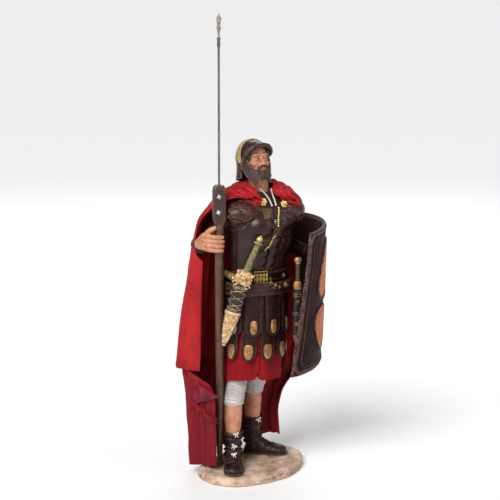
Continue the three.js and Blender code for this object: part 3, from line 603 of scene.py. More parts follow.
GUARD = finish("guard_leather", (72, 33, 29), (38, 18, 18), 0.3, scale=600, patch=110, bumps=0.4,
               crackle=0.2, edge=(128, 88, 72), edge_by=0.45, hollow=(22, 12, 12),
               specular_ior_level=0.35)
STRAP = finish("strip_leather", (50, 27, 25), (26, 15, 16), 0.32, scale=600, patch=120, bumps=0.35,
               crackle=0.15, edge=(100, 72, 60), edge_by=0.3, hollow=(16, 10, 10),
               specular_ior_level=0.15)
SASH = finish("sash_leather", (60, 33, 28), (34, 19, 17), 0.34, scale=500, patch=110, bumps=0.35,
              edge=(104, 70, 56), edge_by=0.35, hollow=(20, 11, 10), specular_ior_level=0.28)
BLACK = finish("scabbard_leather", (32, 27, 30), (18, 15, 17), 0.34, scale=700, bumps=0.4,
               crackle=0.2, edge=(90, 82, 80), edge_by=0.5)
SHIELD_LEATHER = finish("shield_leather", (50, 25, 26), (27, 13, 14), 0.55, scale=320, patch=55,
                        bumps=0.45, crackle=0.2, edge=(140, 112, 102), edge_by=0.5,
                        hollow=(34, 20, 20), rough_by=0.2, specular_ior_level=0.1)
RIM = finish("rim_leather", (62, 38, 36), (36, 21, 20), 0.5, scale=800, bumps=0.4,
             edge=(124, 96, 86), edge_by=0.4, hollow=(30, 18, 17), specular_ior_level=0.2)
ORANGE = finish("emblem_paint", (206, 112, 52), (176, 78, 34), 0.6, scale=500, patch=130, bumps=0.3,
                edge=(226, 150, 84), edge_by=0.5, hollow=(84, 40, 22))
# Aged brass: the pale colour on its edges is rubbed wear and also a painted glint.
BRASS = finish("aged_brass", (238, 206, 124), (176, 134, 66), 0.3, 0.8, scale=900, patch=300,
               bumps=0.25, edge=(246, 224, 160), edge_by=0.7, hollow=(40, 26, 12), wash_and_shade_by=0.95,
               reach=0.03)
DARK_GOLD = finish("dark_gold_relief", (112, 88, 50), (64, 48, 30), 0.5, 0.3, scale=900, bumps=0.3,
                   edge=(126, 102, 60), edge_by=0.35, hollow=(24, 16, 10))
# A darker copy of the brass: painted shade for the fittings on his shaded left side.
SHADED_BRASS = finish("brass_in_painted_shade", (112, 90, 52), (66, 50, 32), 0.5, 0.5, scale=900, bumps=0.3,
                   edge=(182, 152, 92), hollow=(30, 20, 12))
BAND = finish("dull_gold_band", (168, 148, 88), (112, 92, 52), 0.6, 0.2, scale=700, patch=220,
              bumps=0.3, edge=(222, 208, 150), hollow=(92, 74, 40))
PALE = finish("pale_gold", (230, 194, 142), (126, 80, 44), 0.46, 0.3, scale=1000, patch=420,
              bumps=0.5, edge=(250, 232, 196), edge_by=0.7, hollow=(88, 58, 32), wash_and_shade_by=0.95,
              reach=0.05)
TIP = finish("worn_gold_tip", (178, 128, 74), (88, 56, 34), 0.42, 0.35, scale=700, patch=330,
             bumps=0.4, edge=(220, 186, 126), edge_by=0.8, hollow=(70, 46, 28), reach=0.05)
ROSE_TIP = finish("rosy_silver_tip", (188, 160, 152), (150, 120, 112), 0.42, 0.5, scale=700,
                  patch=330, bumps=0.4, edge=(222, 204, 196), hollow=(90, 64, 56))
OLIVE = finish("olive_gold_grip", (128, 118, 84), (98, 88, 60), 0.5, 0.3, scale=1000, bumps=0.5,
               edge=(182, 168, 120), hollow=(52, 44, 28))
GRIP = finish("brown_grip", (92, 62, 42), (66, 42, 30), 0.5, scale=900, bumps=0.4,
              edge=(132, 98, 68), hollow=(36, 22, 14))
# The cloak cloth's low colour is painted shade on its lower part, under the part over the forearm.
CLOTH = finish("cloak_cloth", (180, 34, 37), (146, 21, 28), 0.82, scale=1100, patch=40, bumps=0.45,
               weave=0.9, weave_by=0.7, hollow=(90, 12, 20), wash_and_shade_by=0.5, low=(92, 10, 24),
               specular_ior_level=0.25)
LINING = finish("lining_cloth", (126, 46, 62), (98, 30, 44), 0.85, scale=1100, patch=60, bumps=0.45,
                weave=0.9, weave_by=0.7, specular_ior_level=0.2)
TUNIC_CLOTH = finish("tunic_cloth", (152, 18, 25), (116, 10, 17), 0.85, scale=1100, patch=70,
                     bumps=0.4, weave=0.9, weave_by=0.6, hollow=(84, 12, 20),
                     specular_ior_level=0.18)
LACE = finish("pale_lace", (226, 218, 206), (196, 184, 168), 0.7, scale=1500, bumps=0.3,
              hollow=(150, 134, 116))
WOOD = finish("shaft_wood", (92, 60, 43), (56, 35, 26), 0.45, scale=900, patch=260, bumps=0.4,
              edge=(126, 96, 76), edge_by=0.4, hollow=(44, 30, 24))
DARK_WOOD = finish("block_wood", (68, 40, 30), (36, 21, 17), 0.4, scale=700, patch=160, bumps=0.4,
                   edge=(150, 116, 92), edge_by=0.8, hollow=(30, 18, 14))
WORN_POINT = finish("worn_spear_point", (172, 160, 150), (88, 70, 60), 0.45, 0.35, scale=900,
                    patch=420, bumps=0.3, edge=(206, 198, 190), hollow=(50, 40, 36))
STEEL = finish("grey_steel", (118, 126, 140), (92, 100, 114), 0.36, 0.75, scale=900, bumps=0.15)
CORD = finish("grey_cord", (126, 118, 112), (92, 84, 80), 0.6, scale=1500, bumps=0.3)
SILVER = finish("bright_rivet", (224, 226, 230), (180, 184, 190), 0.3, 0.7, scale=900, bumps=0.2,
                hollow=(60, 56, 54))
EYE_WHITE = finish("eye_white", (226, 214, 204), (214, 198, 186), 0.35, bumps=0.02)
IRIS = finish("eye_iris", (52, 34, 24), (36, 24, 18), 0.25, bumps=0.02)
LIP = finish("painted_lip", (178, 104, 88), (160, 88, 76), 0.5, scale=900, bumps=0.1)


# Base. Its half length and half depth, and how far it is turned.
BASE_LONG, BASE_DEEP, BASE_TURN = 57.5, 39, 28 * RAD


def base_shape():
    def ring(z, inset, rough):
        points = []
        for a in round_angles(180):
            wobble = 1 + 0.018 * math.sin(3 * a + 1) + 0.014 * math.sin(5 * a + 2.2)
            chip = rough * noise.noise(Vector((9 * math.cos(a), 9 * math.sin(a), z * 0.3)))
            x = (BASE_LONG - inset + chip) * math.cos(a) * wobble
            y = (BASE_DEEP - inset + chip) * math.sin(a) * wobble
            spot = Vector((x * math.cos(BASE_TURN) - y * math.sin(BASE_TURN),
                           x * math.sin(BASE_TURN) + y * math.cos(BASE_TURN), z))
            if z > FLOOR - 1:
                spot.z += 0.35 * noise.noise(spot * 0.12) - 0.12
            points.append(spot - Vector((STAND.x, STAND.y, 0)))
        return points

    sides = [(0, 1.4, 0.6), (0.8, 0.5, 0.8), (2, 0.2, 1), (3.4, 0.6, 1.1), (5, 0.6, 1), (6.2, 1.1, 0.9),
             (7.1, 2.2, 0.7), (7.7, 3.6, 0.5), (FLOOR, 5.4, 0.3)]
    top = [(FLOOR, inset, 0) for inset in (8, 12, 17, 23, 29, 34)]
    return ringed([ring(*row) for row in sides + top])


piece("base_clay", base_shape(), CLAY, "base", angle=80)

# Body. Stations of the torso are height, middle, half width and half depth.
CUIRASS_LOW, CUIRASS_TOP, SQUARE = 163, 255, 2.2
TORSO = [
    (140, 5, -2.6, 19, 13.5), (165, 6, -3.6, 20.4, 14.6), (175, 6.3, -4, 24.2, 17.4),
    (190, 7.4, -5, 25, 17.8), (205, 9, -6, 27.5, 19.5), (219, 10.5, -6.5, 29.5, 20.5),
    (232, 12, -6, 30.5, 20), (242, 12.5, -5, 28.5, 17), (249, 12.5, -5, 20, 13),
    (255, 11, -5, 10.5, 10),
]
CHEST_MIDDLE = 14.0
MUSCLES = [
    # across, height, half width, half height, relief
    (-10.5, 226, 11.5, 9.5, 3.4), (10.5, 226, 11.5, 9.5, 3.4),
    (-5, 212, 4.6, 4.4, 1.7), (5, 212, 4.6, 4.4, 1.7),
    (-4.8, 203, 4.6, 4.2, 1.5), (4.8, 203, 4.6, 4.2, 1.5),
    (-4.6, 194.6, 4.5, 4, 1.2), (4.6, 194.6, 4.5, 4, 1.2),
    (-15, 208, 5, 9, 0.9), (15, 208, 5, 9, 0.9), (-14, 193, 5, 6, 0.8), (14, 193, 5, 6, 0.8),
]


def chest_relief(x, z):
    """How far the moulded muscles stand proud of the front of the cuirass."""
    middle = mix(CHEST_MIDDLE, 7.5, clamp((228 - z) / 45))
    across = x - middle
    out = 0.0
    for u, h, wide, high, proud in MUSCLES:
        near = 1 - ((across - u) / wide) ** 2 - ((z - h) / high) ** 2
        if near > 0:
            out += proud * near**0.6
    out -= 0.7 * bump(across, 1.1) * clamp((238 - z) / 8) * clamp((z - 186) / 5)
    arch = 217.5 - 0.045 * across * across
    out -= 0.6 * bump(z - arch, 1.6) * clamp((18 - abs(across)) / 5)
    return out


def chest_y(x, z):
    """The front of the cuirass at a place across and up."""
    cx, cy, a, b = station(TORSO, z)
    dx = clamp(abs((x - cx) / a), 0, 0.985)
    front = cy - b * (1 - dx**SQUARE) ** (1 / SQUARE)
    return front - chest_relief(x, z) * clamp((1 - dx) * 4)


def cuirass_shape():
    rings = []
    for t in steps_to(60 * DETAIL):
        z = mix(CUIRASS_LOW, CUIRASS_TOP, t)
        cx, cy, a, b = station(TORSO, z)
        ring = level_oval(cx, cy, z, a, b, 96 * DETAIL, SQUARE)
        for p in ring:
            front = clamp((cy - p.y) / b * 1.6)
            p.y -= chest_relief(p.x, z) * front
            p.y -= 0.5 * noise.noise(p * 0.09) * front
        rings.append(ring)
    return ringed(rings)


cuirass = piece("cuirass", cuirass_shape(), CUIRASS, "figure", angle=80)
piece("neck", limb([(11, -5, 246, 10.2), (9, -4.6, 258, 8.8), (7, -4, 270, 8.6)], 40, 6), SKIN,
      "figure")

# Head, drawn about its own middle and looking along -Y.
HEAD_AT = Vector((5, -3, 282))
ON_HEAD = (Matrix.Translation(HEAD_AT) @ Matrix.Rotation(10 * RAD, 4, "Z")
           @ Matrix.Rotation(-14 * RAD, 4, "X"))
HEAD = [
    (-19, 0, -8, 3, 3), (-16.2, 0, -6.8, 6.8, 6.8), (-11, 0, -3.4, 9.2, 11.2),
    (-7, 0, -1, 9.9, 12.6), (-2.6, 0, 0, 10.6, 13.2), (3.6, 0, 1, 11.2, 14.3),
    (9, 0, 1.5, 10.7, 13.8), (13.4, 0, 1.5, 8.6, 11.5), (16, 0, 1.5, 4.6, 6.5),
]
BROW, EYES, NOSE_BASE, MOUTH = 2.4, -0.4, -6.2, -9.4


def head_shape():
    """Skull, nose, brows, cheeks, ears and chin, each a soft lump."""
    parts = [upright(HEAD, 48, 40)]
    parts.append(limb([(0, -12, 2.6, 1.3, 1.2), (0, -13.6, -1, 1.4, 1.5), (0, -15, -4.4, 1.8, 1.7),
                       (0, -14, -6, 1.7, 1.1)], 16))
    for side, _ in SIDES:
        parts.append(ball(side * 1.9, -13, -5.4, 1.3, 1.5, 1.1, 14))
        parts.append(limb([(side * 0.8, -12.7, BROW, 1), (side * 4, -12.9, BROW + 0.9, 1.2),
                           (side * 7.4, -10.6, BROW, 1)], 12, side=(0, 0, 1)))
        parts.append(ball(side * 5.4, -9.6, -4.6, 3.6, 3.4, 3, 20))
        parts.append(ball(side * 11.2, 1.5, -1, 1.4, 2.6, 4, 20))
        parts.append(ball(side * 11.6, 1.9, 0.8, 1.5, 2.9, 2.2, 16))
    parts.append(ball(0, -11.2, -16, 3.4, 2.8, 2.4, 20))
    return moved(joined(*parts), ON_HEAD)


fused("head", head_shape(), SKIN, "figure", voxel=0.42, rounds=5)

for side, label in SIDES:
    x, y, z = side * 4.1, -11.6, EYES
    piece("eye_" + label, moved(ball(x, y, z, 1.9, 1.7, 1.35, 20), ON_HEAD), EYE_WHITE, "figure")
    piece("iris_" + label, moved(ball(x - 0.15, y - 1.3, z + 0.1, 1, 0.6, 1.05, 16), ON_HEAD), IRIS,
          "figure")
    lids = []
    for rise, size in ((1.15, 0.62), (-1.2, 0.42)):
        lid = [(x - 2.2, y - 0.4, z - 0.1), (x - 1.1, y - 1.3, z + rise * 0.8), (x, y - 1.55, z + rise),
               (x + 1.1, y - 1.3, z + rise * 0.8), (x + 2.2, y - 0.4, z - 0.1)]
        lids.append(sweep(lid, [0.3, size, size, size, 0.3], 8))
    piece("eyelids_" + label, moved(joined(*lids), ON_HEAD), SKIN, "figure")
    brow = sweep([(x - side * 3.2, y - 1.5, BROW + 0.7), (x, y - 2, BROW + 1.9),
                  (x + side * 3.6, y + 0.3, BROW + 1.1)], [0.4, 0.75, 0.3], 8, flat=0.7)
    piece("eyebrow_" + label, moved(brow, ON_HEAD), HAIR, "figure")


def lip_shape():
    """The upper lip with its bow, and the lower one."""
    upper = sweep([(-2.9, -13.1, MOUTH), (-1.2, -14.6, MOUTH + 0.5), (0, -14.8, MOUTH + 0.25),
                   (1.2, -14.6, MOUTH + 0.5), (2.9, -13.1, MOUTH)], [0.3, 0.6, 0.6, 0.6, 0.3], 8)
    lower = sweep([(-2.5, -13.2, MOUTH - 0.4), (0, -14.7, MOUTH - 1), (2.5, -13.2, MOUTH - 0.4)],
                  [0.3, 0.8, 0.3], 8)
    return moved(joined(upper, lower), ON_HEAD)


piece("lips", lip_shape(), LIP, "figure")


def beard_shape():
    """Short locks over the jaw and the upper lip, each a small tapered tuft."""
    draw = random.Random(5)
    locks = []

    def lock(x, y, z, dx, dz, size):
        path = [(x, y, z), (x + dx * 0.5, y - 0.63, z - dz * 0.5), (x + dx, y - 0.27, z - dz)]
        locks.append(sweep(path, [size * 0.8, size * 0.75, size * 0.2], 5, 2))

    for row, z in enumerate((-10.4, -11.8, -13.2, -14.6, -16, -17.4)):
        cx, cy, a, b = station(HEAD, z)
        for k in range(22):
            angle = mix(-150, -30, (k + 0.5 * (row % 2)) / 25) * RAD
            wide = abs(math.cos(angle))
            if z > -11.6 and wide < 0.34:
                continue
            x = cx + (a + 0.35) * math.cos(angle)
            y = cy + (b + 0.35) * math.sin(angle)
            lock(x, y, z + 0.7, 0.5 * math.cos(angle) + draw.uniform(-0.4, 0.4),
                 draw.uniform(2.2, 3), 0.85)
    for side, _ in SIDES:
        for t in steps_to(8):
            x = side * mix(0.3, 4.8, t)
            y = -14.5 + 0.09 * x * x
            lock(x, y, NOSE_BASE - 0.9 - 0.5 * t, side * mix(0.5, 1.5, t), mix(1.1, 2.6, t), 0.65)
    for t in steps_to(6):
        lock(mix(-2.2, 2.2, t), -14, MOUTH - 2.1, draw.uniform(-0.3, 0.3), 2.6, 0.8)
    return moved(joined(*locks), ON_HEAD)


piece("beard", beard_shape(), HAIR, "figure", angle=60)

# Helmet.
CAP = [(-1, 0, 2.6, 13.6, 16.2), (3.6, 0, 2, 14.2, 16.8), (8, 0, 1.8, 13.4, 16.1),
       (12.2, 0, 1.8, 11.5, 14), (15.4, 0, 1.8, 8.2, 10), (17.2, 0, 1.8, 4.2, 5.2)]


def helmet_shape():
    brow = [(-13.4, -2, -5, 1.8), (-13.4, -6, 1.2, 2), (-11.6, -10.8, 6.4, 2.1),
            (-6.8, -14.8, 9.6, 2.2), (0, -16.2, 10.6, 2.3), (6.8, -14.8, 9.6, 2.2), (11.6, -10.8, 6.4, 2),
            (13, -7, 3.4, 1.6), (13.2, -3, 2.6, 1.2)]

    def neck_guard(s, t):
        angle = mix(-10, 190, s) * RAD
        flare = 2.6 * t * t
        return Vector((math.cos(angle) * (12.6 + flare + 0.4), 2.4 + math.sin(angle) * (14.6 + flare),
                       mix(2, -15.4, t)))

    guard = sheet(neck_guard, 48, 16, 2.0)
    return moved(joined(upright(CAP, 64, 30), limb(brow, 20, side=UP), guard), ON_HEAD)


def helmet_opening():
    """The hollow for the face and the head, cut from below in front."""
    rows = [(-30, 0, -16, 9.4, 11), (-6, 0, -16, 10.8, 12), (1.6, 0, -15, 10.6, 10.8),
            (7, 0, -14.6, 8, 7.6), (9, 0, -14.6, 3, 5)]
    return [moved(upright(rows, 40, 20), ON_HEAD)]


fused("helmet_cap", helmet_shape(), HELMET, "helmet", voxel=0.45, rounds=4,
      cuts=helmet_opening())


def flap_point(side, s, t, out=0.0):
    """The flap follows the jaw round from below the ear towards the chin."""
    end = mix(1, 0.45, (t - 0.8) / 0.2) if t > 0.8 else 1
    middle = mix(14, 42, ease(t))
    turn = (middle + (s - 0.5) * mix(34, 52, ease(t * 1.5)) * end) * RAD
    wide = mix(13.2 if side < 0 else 12.2, 9.8 if side < 0 else 8.8, t * t) + out
    deep = mix(14.8, 13.4, t) + out
    return ON_HEAD @ Vector((side * wide * math.cos(turn), mix(0.6, -2.6, t) - deep * math.sin(turn),
                             mix(1, -21.5, t)))


for side, label in SIDES:
    plate = sheet(lambda s, t: flap_point(side, s, t), 20, 36, 1.6)
    border = [(0.03, t) for t in steps_to(14)] + [(s, 0.99) for s in steps_to(6)[1:-1]]
    border += [(0.97, 1 - t) for t in steps_to(14)]
    edge = [flap_point(side, s, t, 0.7) for s, t in border]
    piece("cheek_flap_" + label, plate, PEBBLED, "helmet")
    piece("cheek_binding_" + label, sweep(edge, 0.55, 8, 2), HELMET, "helmet")


def crown_point(across, t, out):
    """A point of the band over the cap, which runs from behind one ear to behind the other."""
    half = [(row[3] - 0.2, row[0]) for row in CAP]
    rows = smooth_run([(-x, z) for x, z in half] + [(0, 18)] + half[::-1], 8)
    g = clamp(t) * (len(rows) - 1)
    k = min(int(g), len(rows) - 2)
    x, z = (mix(rows[k][m], rows[k + 1][m], g - k) for m in (0, 1))
    back = -1.2 + across
    p = Vector((x, 2 + back, z))
    return ON_HEAD @ (p + Vector((x, 0, z - 2)).normalized() * (out - 0.032 * back * back))


band = sheet(lambda s, t: crown_point((s - 0.5) * 5, t, 0.6), 14, 90, 1.2)
ridge = [sweep([crown_point(x, t, 1) for t in steps_to(50)], 0.42, 8, 1) for x in (-2.4, 0, 2.4)]
piece("crown_band", joined(band, *ridge), BAND, "helmet_crest")

# Spear.
SPEAR_FOOT = Vector((-27.6, -2, FLOOR))
SPEAR_RUN = Vector((-7.4, -20.5, 401)).normalized()
SPEAR_TOP, SHAFT = 402, 3.8  # how far the point is from the foot, and the shaft's radius
BLOCK_SIDE = (1, -0.3, 0)  # the way that the broad side of the block and the point lie


def spear_at(h):
    return SPEAR_FOOT + SPEAR_RUN * h


SPEAR_HOLD = spear_at(207)


def along_spear(rows, count, side, square=2.0, per=4):
    """A form on the axis of the spear, from rows of distance and half sizes."""
    stations = [[*spear_at(h), a, b] for h, a, b in rows]
    return limb(stations, count, per, side, square)


def spear_pieces():
    """The shaft, the block, the shank with its collar, and the point."""
    shaft = along_spear([(0.3, 2.4, 2.4), (60, 3.1, 3.1), (130, SHAFT, SHAFT), (222, SHAFT, SHAFT)],
                        32, ACROSS)
    block = along_spear([(220.6, SHAFT, 3.6), (223, 4.8, 4.1), (225.4, 5.6, 4.5), (229, 5.9, 4.6),
                         (246, 5.9, 4.7), (251.2, 5.7, 4.6), (253.4, 5.2, 4.3), (255, 4.2, 3.7),
                         (255.6, 3, 3)], 48, BLOCK_SIDE, 5)
    piece("spear_shaft_wood", shaft, WOOD, "spear_shaft")
    held = piece("spear_block", block, DARK_WOOD, "spear_shaft")
    top = SPEAR_TOP
    shank = along_spear([(251, 1, 1), (300, 1, 1), (top - 27, 1, 1)], 20, BLOCK_SIDE)
    collar = along_spear([(top - 28, 1.25, 1.25), (top - 27.4, 1.5, 1.5), (top - 24, 1.4, 1.4),
                          (top - 20.4, 1.5, 1.5), (top - 19.8, 1.2, 1.2)], 20, BLOCK_SIDE, per=3)
    point = along_spear([(top - 20, 0.9, 0.8), (top - 15.5, 1.1, 0.8), (top - 12.5, 2, 1),
                         (top - 10.6, 1.7, 0.9), (top - 9, 1.5, 0.9), (top - 7.4, 1.9, 0.9),
                         (top - 5, 2.3, 0.9), (top - 2.4, 1.4, 0.7), (top - 0.2, 0.3, 0.2)], 20,
                        BLOCK_SIDE)
    piece("spear_shank_steel", joined(shank, collar), STEEL, "spear_shank")
    piece("spear_point", point, WORN_POINT, "spear_shank")
    return held


block = spear_pieces()


RIVET_SPOTS = [(219.2, 197), (218.6, 212.6)]


def star_rivets():
    """Bright rivets with eight small points, on the face of the block that looks forward."""
    parts = []
    for face in (facing_eye(spot) for spot in seen(RIVET_SPOTS, [block], 0.2)):
        parts.append(moved(ball(0, 0, 0.4, 1.1, 1.1, 0.9, 16), face))
        for k in range(8):
            a = math.pi * k / 4 + 0.3
            reach = 2.5 if k % 2 == 0 else 1.9
            root, tip = (Vector((math.cos(a) * d, math.sin(a) * d, 0.35 - 0.2 * d / reach))
                         for d in (0.4, reach))
            ray = limb([(*root, 0.5), (*mix(root, tip, 0.5), 0.42), (*tip, 0.15)], 8, 2, side=UP)
            parts.append(moved(ray, face))
    piece("spear_rivets", joined(*parts), SILVER, "spear_shaft")


star_rivets()


# Hand and arms.
GAP = 0.15  # the room round the shaft in the fist
GRIP_TURN = -22 * RAD


def hand_shape():
    """The fist round the shaft: palm, four fingers and thumb."""
    def spot(u, d, z):
        return (SPEAR_HOLD.x + u * math.cos(GRIP_TURN) + d * math.sin(GRIP_TURN),
                SPEAR_HOLD.y + u * math.sin(GRIP_TURN) - d * math.cos(GRIP_TURN), SPEAR_HOLD.z + z)

    front = SHAFT + 2
    palm = limb([(*spot(-18.4, -13, -5.6), 4.6, 3.8), (*spot(-14.4, -3.4, -2.4), 7, 4),
                 (*spot(-9.4, -1.4, -0.6), 8.2, 4.2), (*spot(-4.6, -3.6, 0), 7.6, 2.4)], 28, 6,
                side=UP)
    parts = [palm]
    for k in range(4):
        z = 4.8 - 3.9 * k
        draw = 0.5 * abs(k - 1.3)
        path = [(-14 + draw, -0.4, z), (-9.8 + draw, front - 0.9, z - 0.4),
                (-5.6, front + 0.7, z - 0.9), (-1.2, front + 0.8, z - 1.2),
                (2.2 - draw, front - 0.1, z - 1.4), (4.4 - draw, front - 1.6, z - 1.5)]
        sizes = (2.1, 2.25, 2, 2.05, 1.8, 1.4)
        parts.append(limb([(*spot(*p), r) for p, r in zip(path, sizes)], 16, 5, side=(0.3, 0.2, 1)))
    thumb = [(-10.4, -1.4, 4.6), (-8.6, 2.4, 8), (-5.8, front - 1, 10.4), (-2.2, front - 0.2, 12.2)]
    parts.append(limb([(*spot(*p), r) for p, r in zip(thumb, (3.3, 2.7, 2.3, 1.6))], 16, 5,
                      side=(0.3, 0.2, 1)))
    return joined(*parts)


def spear_gap():
    """The room for the shaft through the fist."""
    r = SHAFT + GAP
    return [along_spear([(150, r, r), (215, r, r), (230, r, r)], 32, ACROSS)]


fused("right_hand", hand_shape(), SKIN, "figure", voxel=0.36, rounds=4,
      cuts=spear_gap())

# Arms and legs. Stations are a place, a half width and a half depth.
RIGHT_ARM = [(-10, -4, 238, 12.5, 11.5), (-17, -2, 236, 12, 11), (-24, 7, 224, 9.6, 9.2),
             (-30.6, 15.6, 211, 8, 8)]
RIGHT_FORE = [(-31, 16, 209, 7.8, 7.8), (-38.4, 11, 207.4, 6.4, 6.2), (-43, 4, 208.4, 4.8, 4.8)]
LEFT_ARM = [(31, -3, 238, 12, 11), (37, 0, 234, 10.5, 10), (41.5, 7, 220, 9, 9),
            (44.5, 11, 206, 8.4, 8.4)]
LEFT_FORE = [(44.8, 10.6, 204, 8, 8), (50, 1, 200.6, 6.8, 6.8), (55, -9, 199, 5.4, 5.4)]

# Both arms wear leather sleeves; the left one, in shadow behind the shield, is given the darker strap
# leather as painted shade.
for label, arm, elbow, forearm, leather in (
        ("right", RIGHT_ARM, (-31, 16, 209.4, 8, 8.2, 8), RIGHT_FORE, GUARD),
        ("left", LEFT_ARM, (44.8, 10.6, 204.6, 8.4, 8.4, 8.4), LEFT_FORE, STRAP)):
    fused(label + "_sleeve", joined(limb(arm, 28), ball(*elbow), limb(forearm, 28)), leather, "figure",
          voxel=0.6, rounds=6)


def left_fist():
    """The left hand closed on the shield's grip."""
    knuckles = [ball(57.2, -14, 199, 4.6, 6.2, 6.4, 28)]
    for k in range(4):
        z = 204 - 3.5 * k
        knuckles.append(limb([(60, -9, z, 2), (61.4, -14.5, z, 2.1), (58.6, -19.6, z, 2),
                              (54.4, -18.6, z, 1.7)], 14, 5, side=UP))
    return joined(*knuckles)


fused("left_hand", left_fist(), SKIN, "figure", voxel=0.45, rounds=4)


def wristband():
    """Two straps round the wrist with a narrower one between."""
    centre, run = Vector((-40.8, 9.4, 207.9)), Vector((-1.8, -4.8, 0.6)).normalized()
    across = run.cross(UP).normalized()
    along = run.cross(across)
    parts = []
    for shift, size, thick in ((-2.3, 7.4, 1.5), (1.1, 6.8, 1.5), (-0.6, 6.9, 0.8)):
        loop = [centre + run * shift + across * math.cos(a) * size + along * math.sin(a) * size * 0.95
                for a in round_angles(24)]
        parts.append(sweep(loop, thick * 0.8, 10, 2, looped=True))
    return joined(*parts)


piece("wrist_straps", wristband(), BLACK, "wristband")

RIGHT_KNEE = [(-4, -2, 118, 10, 10.6), (-8.6, -2.4, 96, 8.4, 9.7), (-11.2, -2.5, 84, 8.7, 9.8),
              (-13.4, -3.4, 74, 8.8, 9.6), (-15, -4.2, 67.6, 9, 9.4), (-15.1, -4.3, 65.4, 9.1, 9.5),
              (-15.1, -4.3, 64.9, 8.4, 8.9)]
LEFT_KNEE = [(14, -1, 118, 11, 11.4), (12.4, 3.6, 96, 9.3, 9.5), (11.6, 7.4, 84, 9, 9.3),
             (11.6, 12.4, 76, 8.9, 9.3), (11.8, 15.8, 71.8, 9, 9.4), (11.9, 16.2, 70, 9.1, 9.5),
             (11.9, 16.3, 69.5, 8.4, 8.9)]
RIGHT_SHIN = [(-15.1, -4.2, 68, 7.6, 8.2), (-15.8, -5, 60, 7.9, 8.8), (-16.4, -6, 52, 7.7, 8.6),
              (-17, -7.4, 39, 6.5, 6.9)]
LEFT_SHIN = [(11.9, 16, 73, 7.6, 8.2), (12.4, 18, 62, 7.9, 8.7), (12.8, 19.6, 54, 7.7, 8.4),
             (13.6, 21.8, 39, 6.5, 6.9)]


def hem_ring(x, y, z):
    """The rolled hem of a breech."""
    loop = [(x + 8.7 * math.cos(a), y + 9.1 * math.sin(a), z + 0.2) for a in round_angles(32)]
    return sweep(loop, 0.7, 8, 2, looped=True)


def knitted(rows, middle):
    """A knitted leg: fine ribs down it and small creases across it."""
    points, faces, uvs = limb(rows, 144, 16)
    for p in points:
        away = Vector((p.x - middle[0], p.y - middle[1], 0))
        angle = math.atan2(away.y, away.x)
        rib = 0.16 * math.sin(42 * angle + 0.5 * math.sin(p.z))
        crease = 0.5 * noise.noise(Vector((p.x * 0.12, p.y * 0.12, p.z * 0.34)))
        p += away.normalized() * (rib + crease + 0.22 * noise.noise(p * 0.9))
    return points, faces, uvs


for label, knee, shin, middle in (("right", RIGHT_KNEE, RIGHT_SHIN, (-11, -3)),
                                  ("left", LEFT_KNEE, LEFT_SHIN, (12, 9))):
    piece(label + "_breech", joined(knitted(knee, middle), hem_ring(*knee[-2][:3])), KNIT, "figure")
    piece(label + "_shin", limb(shin, 48), SKIN, "figure")


BOOT_LOW = FLOOR + 0.3


def boot_shapes(x, y, top, turn):
    """A boot's upper, its sole, and its own places: out towards the toe, up, and to a side."""
    run = Vector((math.sin(turn * RAD), -math.cos(turn * RAD), 0))
    across = Vector((math.cos(turn * RAD), math.sin(turn * RAD), 0))
    low = BOOT_LOW

    def at(out, z, side=0.0):
        return Vector((x, y, z)) + run * out + across * side

    shaft = [oval(at(out, z), across, run, r, r * 1.04, 40)
             for z, out, r in ((top, 0, 7.9), (top - 1.4, 0, 8.2), (top - 3, 0, 7.7),
                               (mix(low, top, 0.7), 0.2, 7.3), (mix(low, top, 0.5), 0.4, 7.1),
                               (mix(low, top, 0.3), 0.8, 7.2), (mix(low, top, 0.1), 1, 7.5),
                               (low, 1, 7.4))]
    outline = smooth_run([(-7.4, 6.4, 5), (-3, 7, 12), (6, 7.3, 15), (15, 8, 10), (22, 8.1, 8),
                          (28, 6.6, 6.8), (31, 3.8, 4.4)], 4)
    foot = []
    for out, half, high in outline:
        ring = []
        for a in round_angles(24):
            up = math.sin(a)
            rise = (up**0.7) * high if up > 0 else up * 0.2
            ring.append(at(out, low + 0.8 + rise, math.cos(a) * half))
        foot.append(ring)
    toes = moved(ball(0, 0, 0, 7.6, 6.2, 4, 20), framed(at(25.4, low + 3.6), across, run, UP))
    sole = []
    for grow in (0, 1):
        loop = [(-8.2, 3.4), (-7.6, 5.6), (-3, 7.6), (6, 7.8), (15, 8.6), (22, 8.8), (28, 7.6),
                (32, 4.2)]
        loop = loop + [(o, -h) for o, h in reversed(loop)]
        loop = smooth_run(loop + [loop[0]], 4)[:-1]
        sole.append([at(o, low + 1.7 * grow, h) for o, h in loop])
    return joined(ringed(shaft), ringed(foot), toes), ringed(sole), at


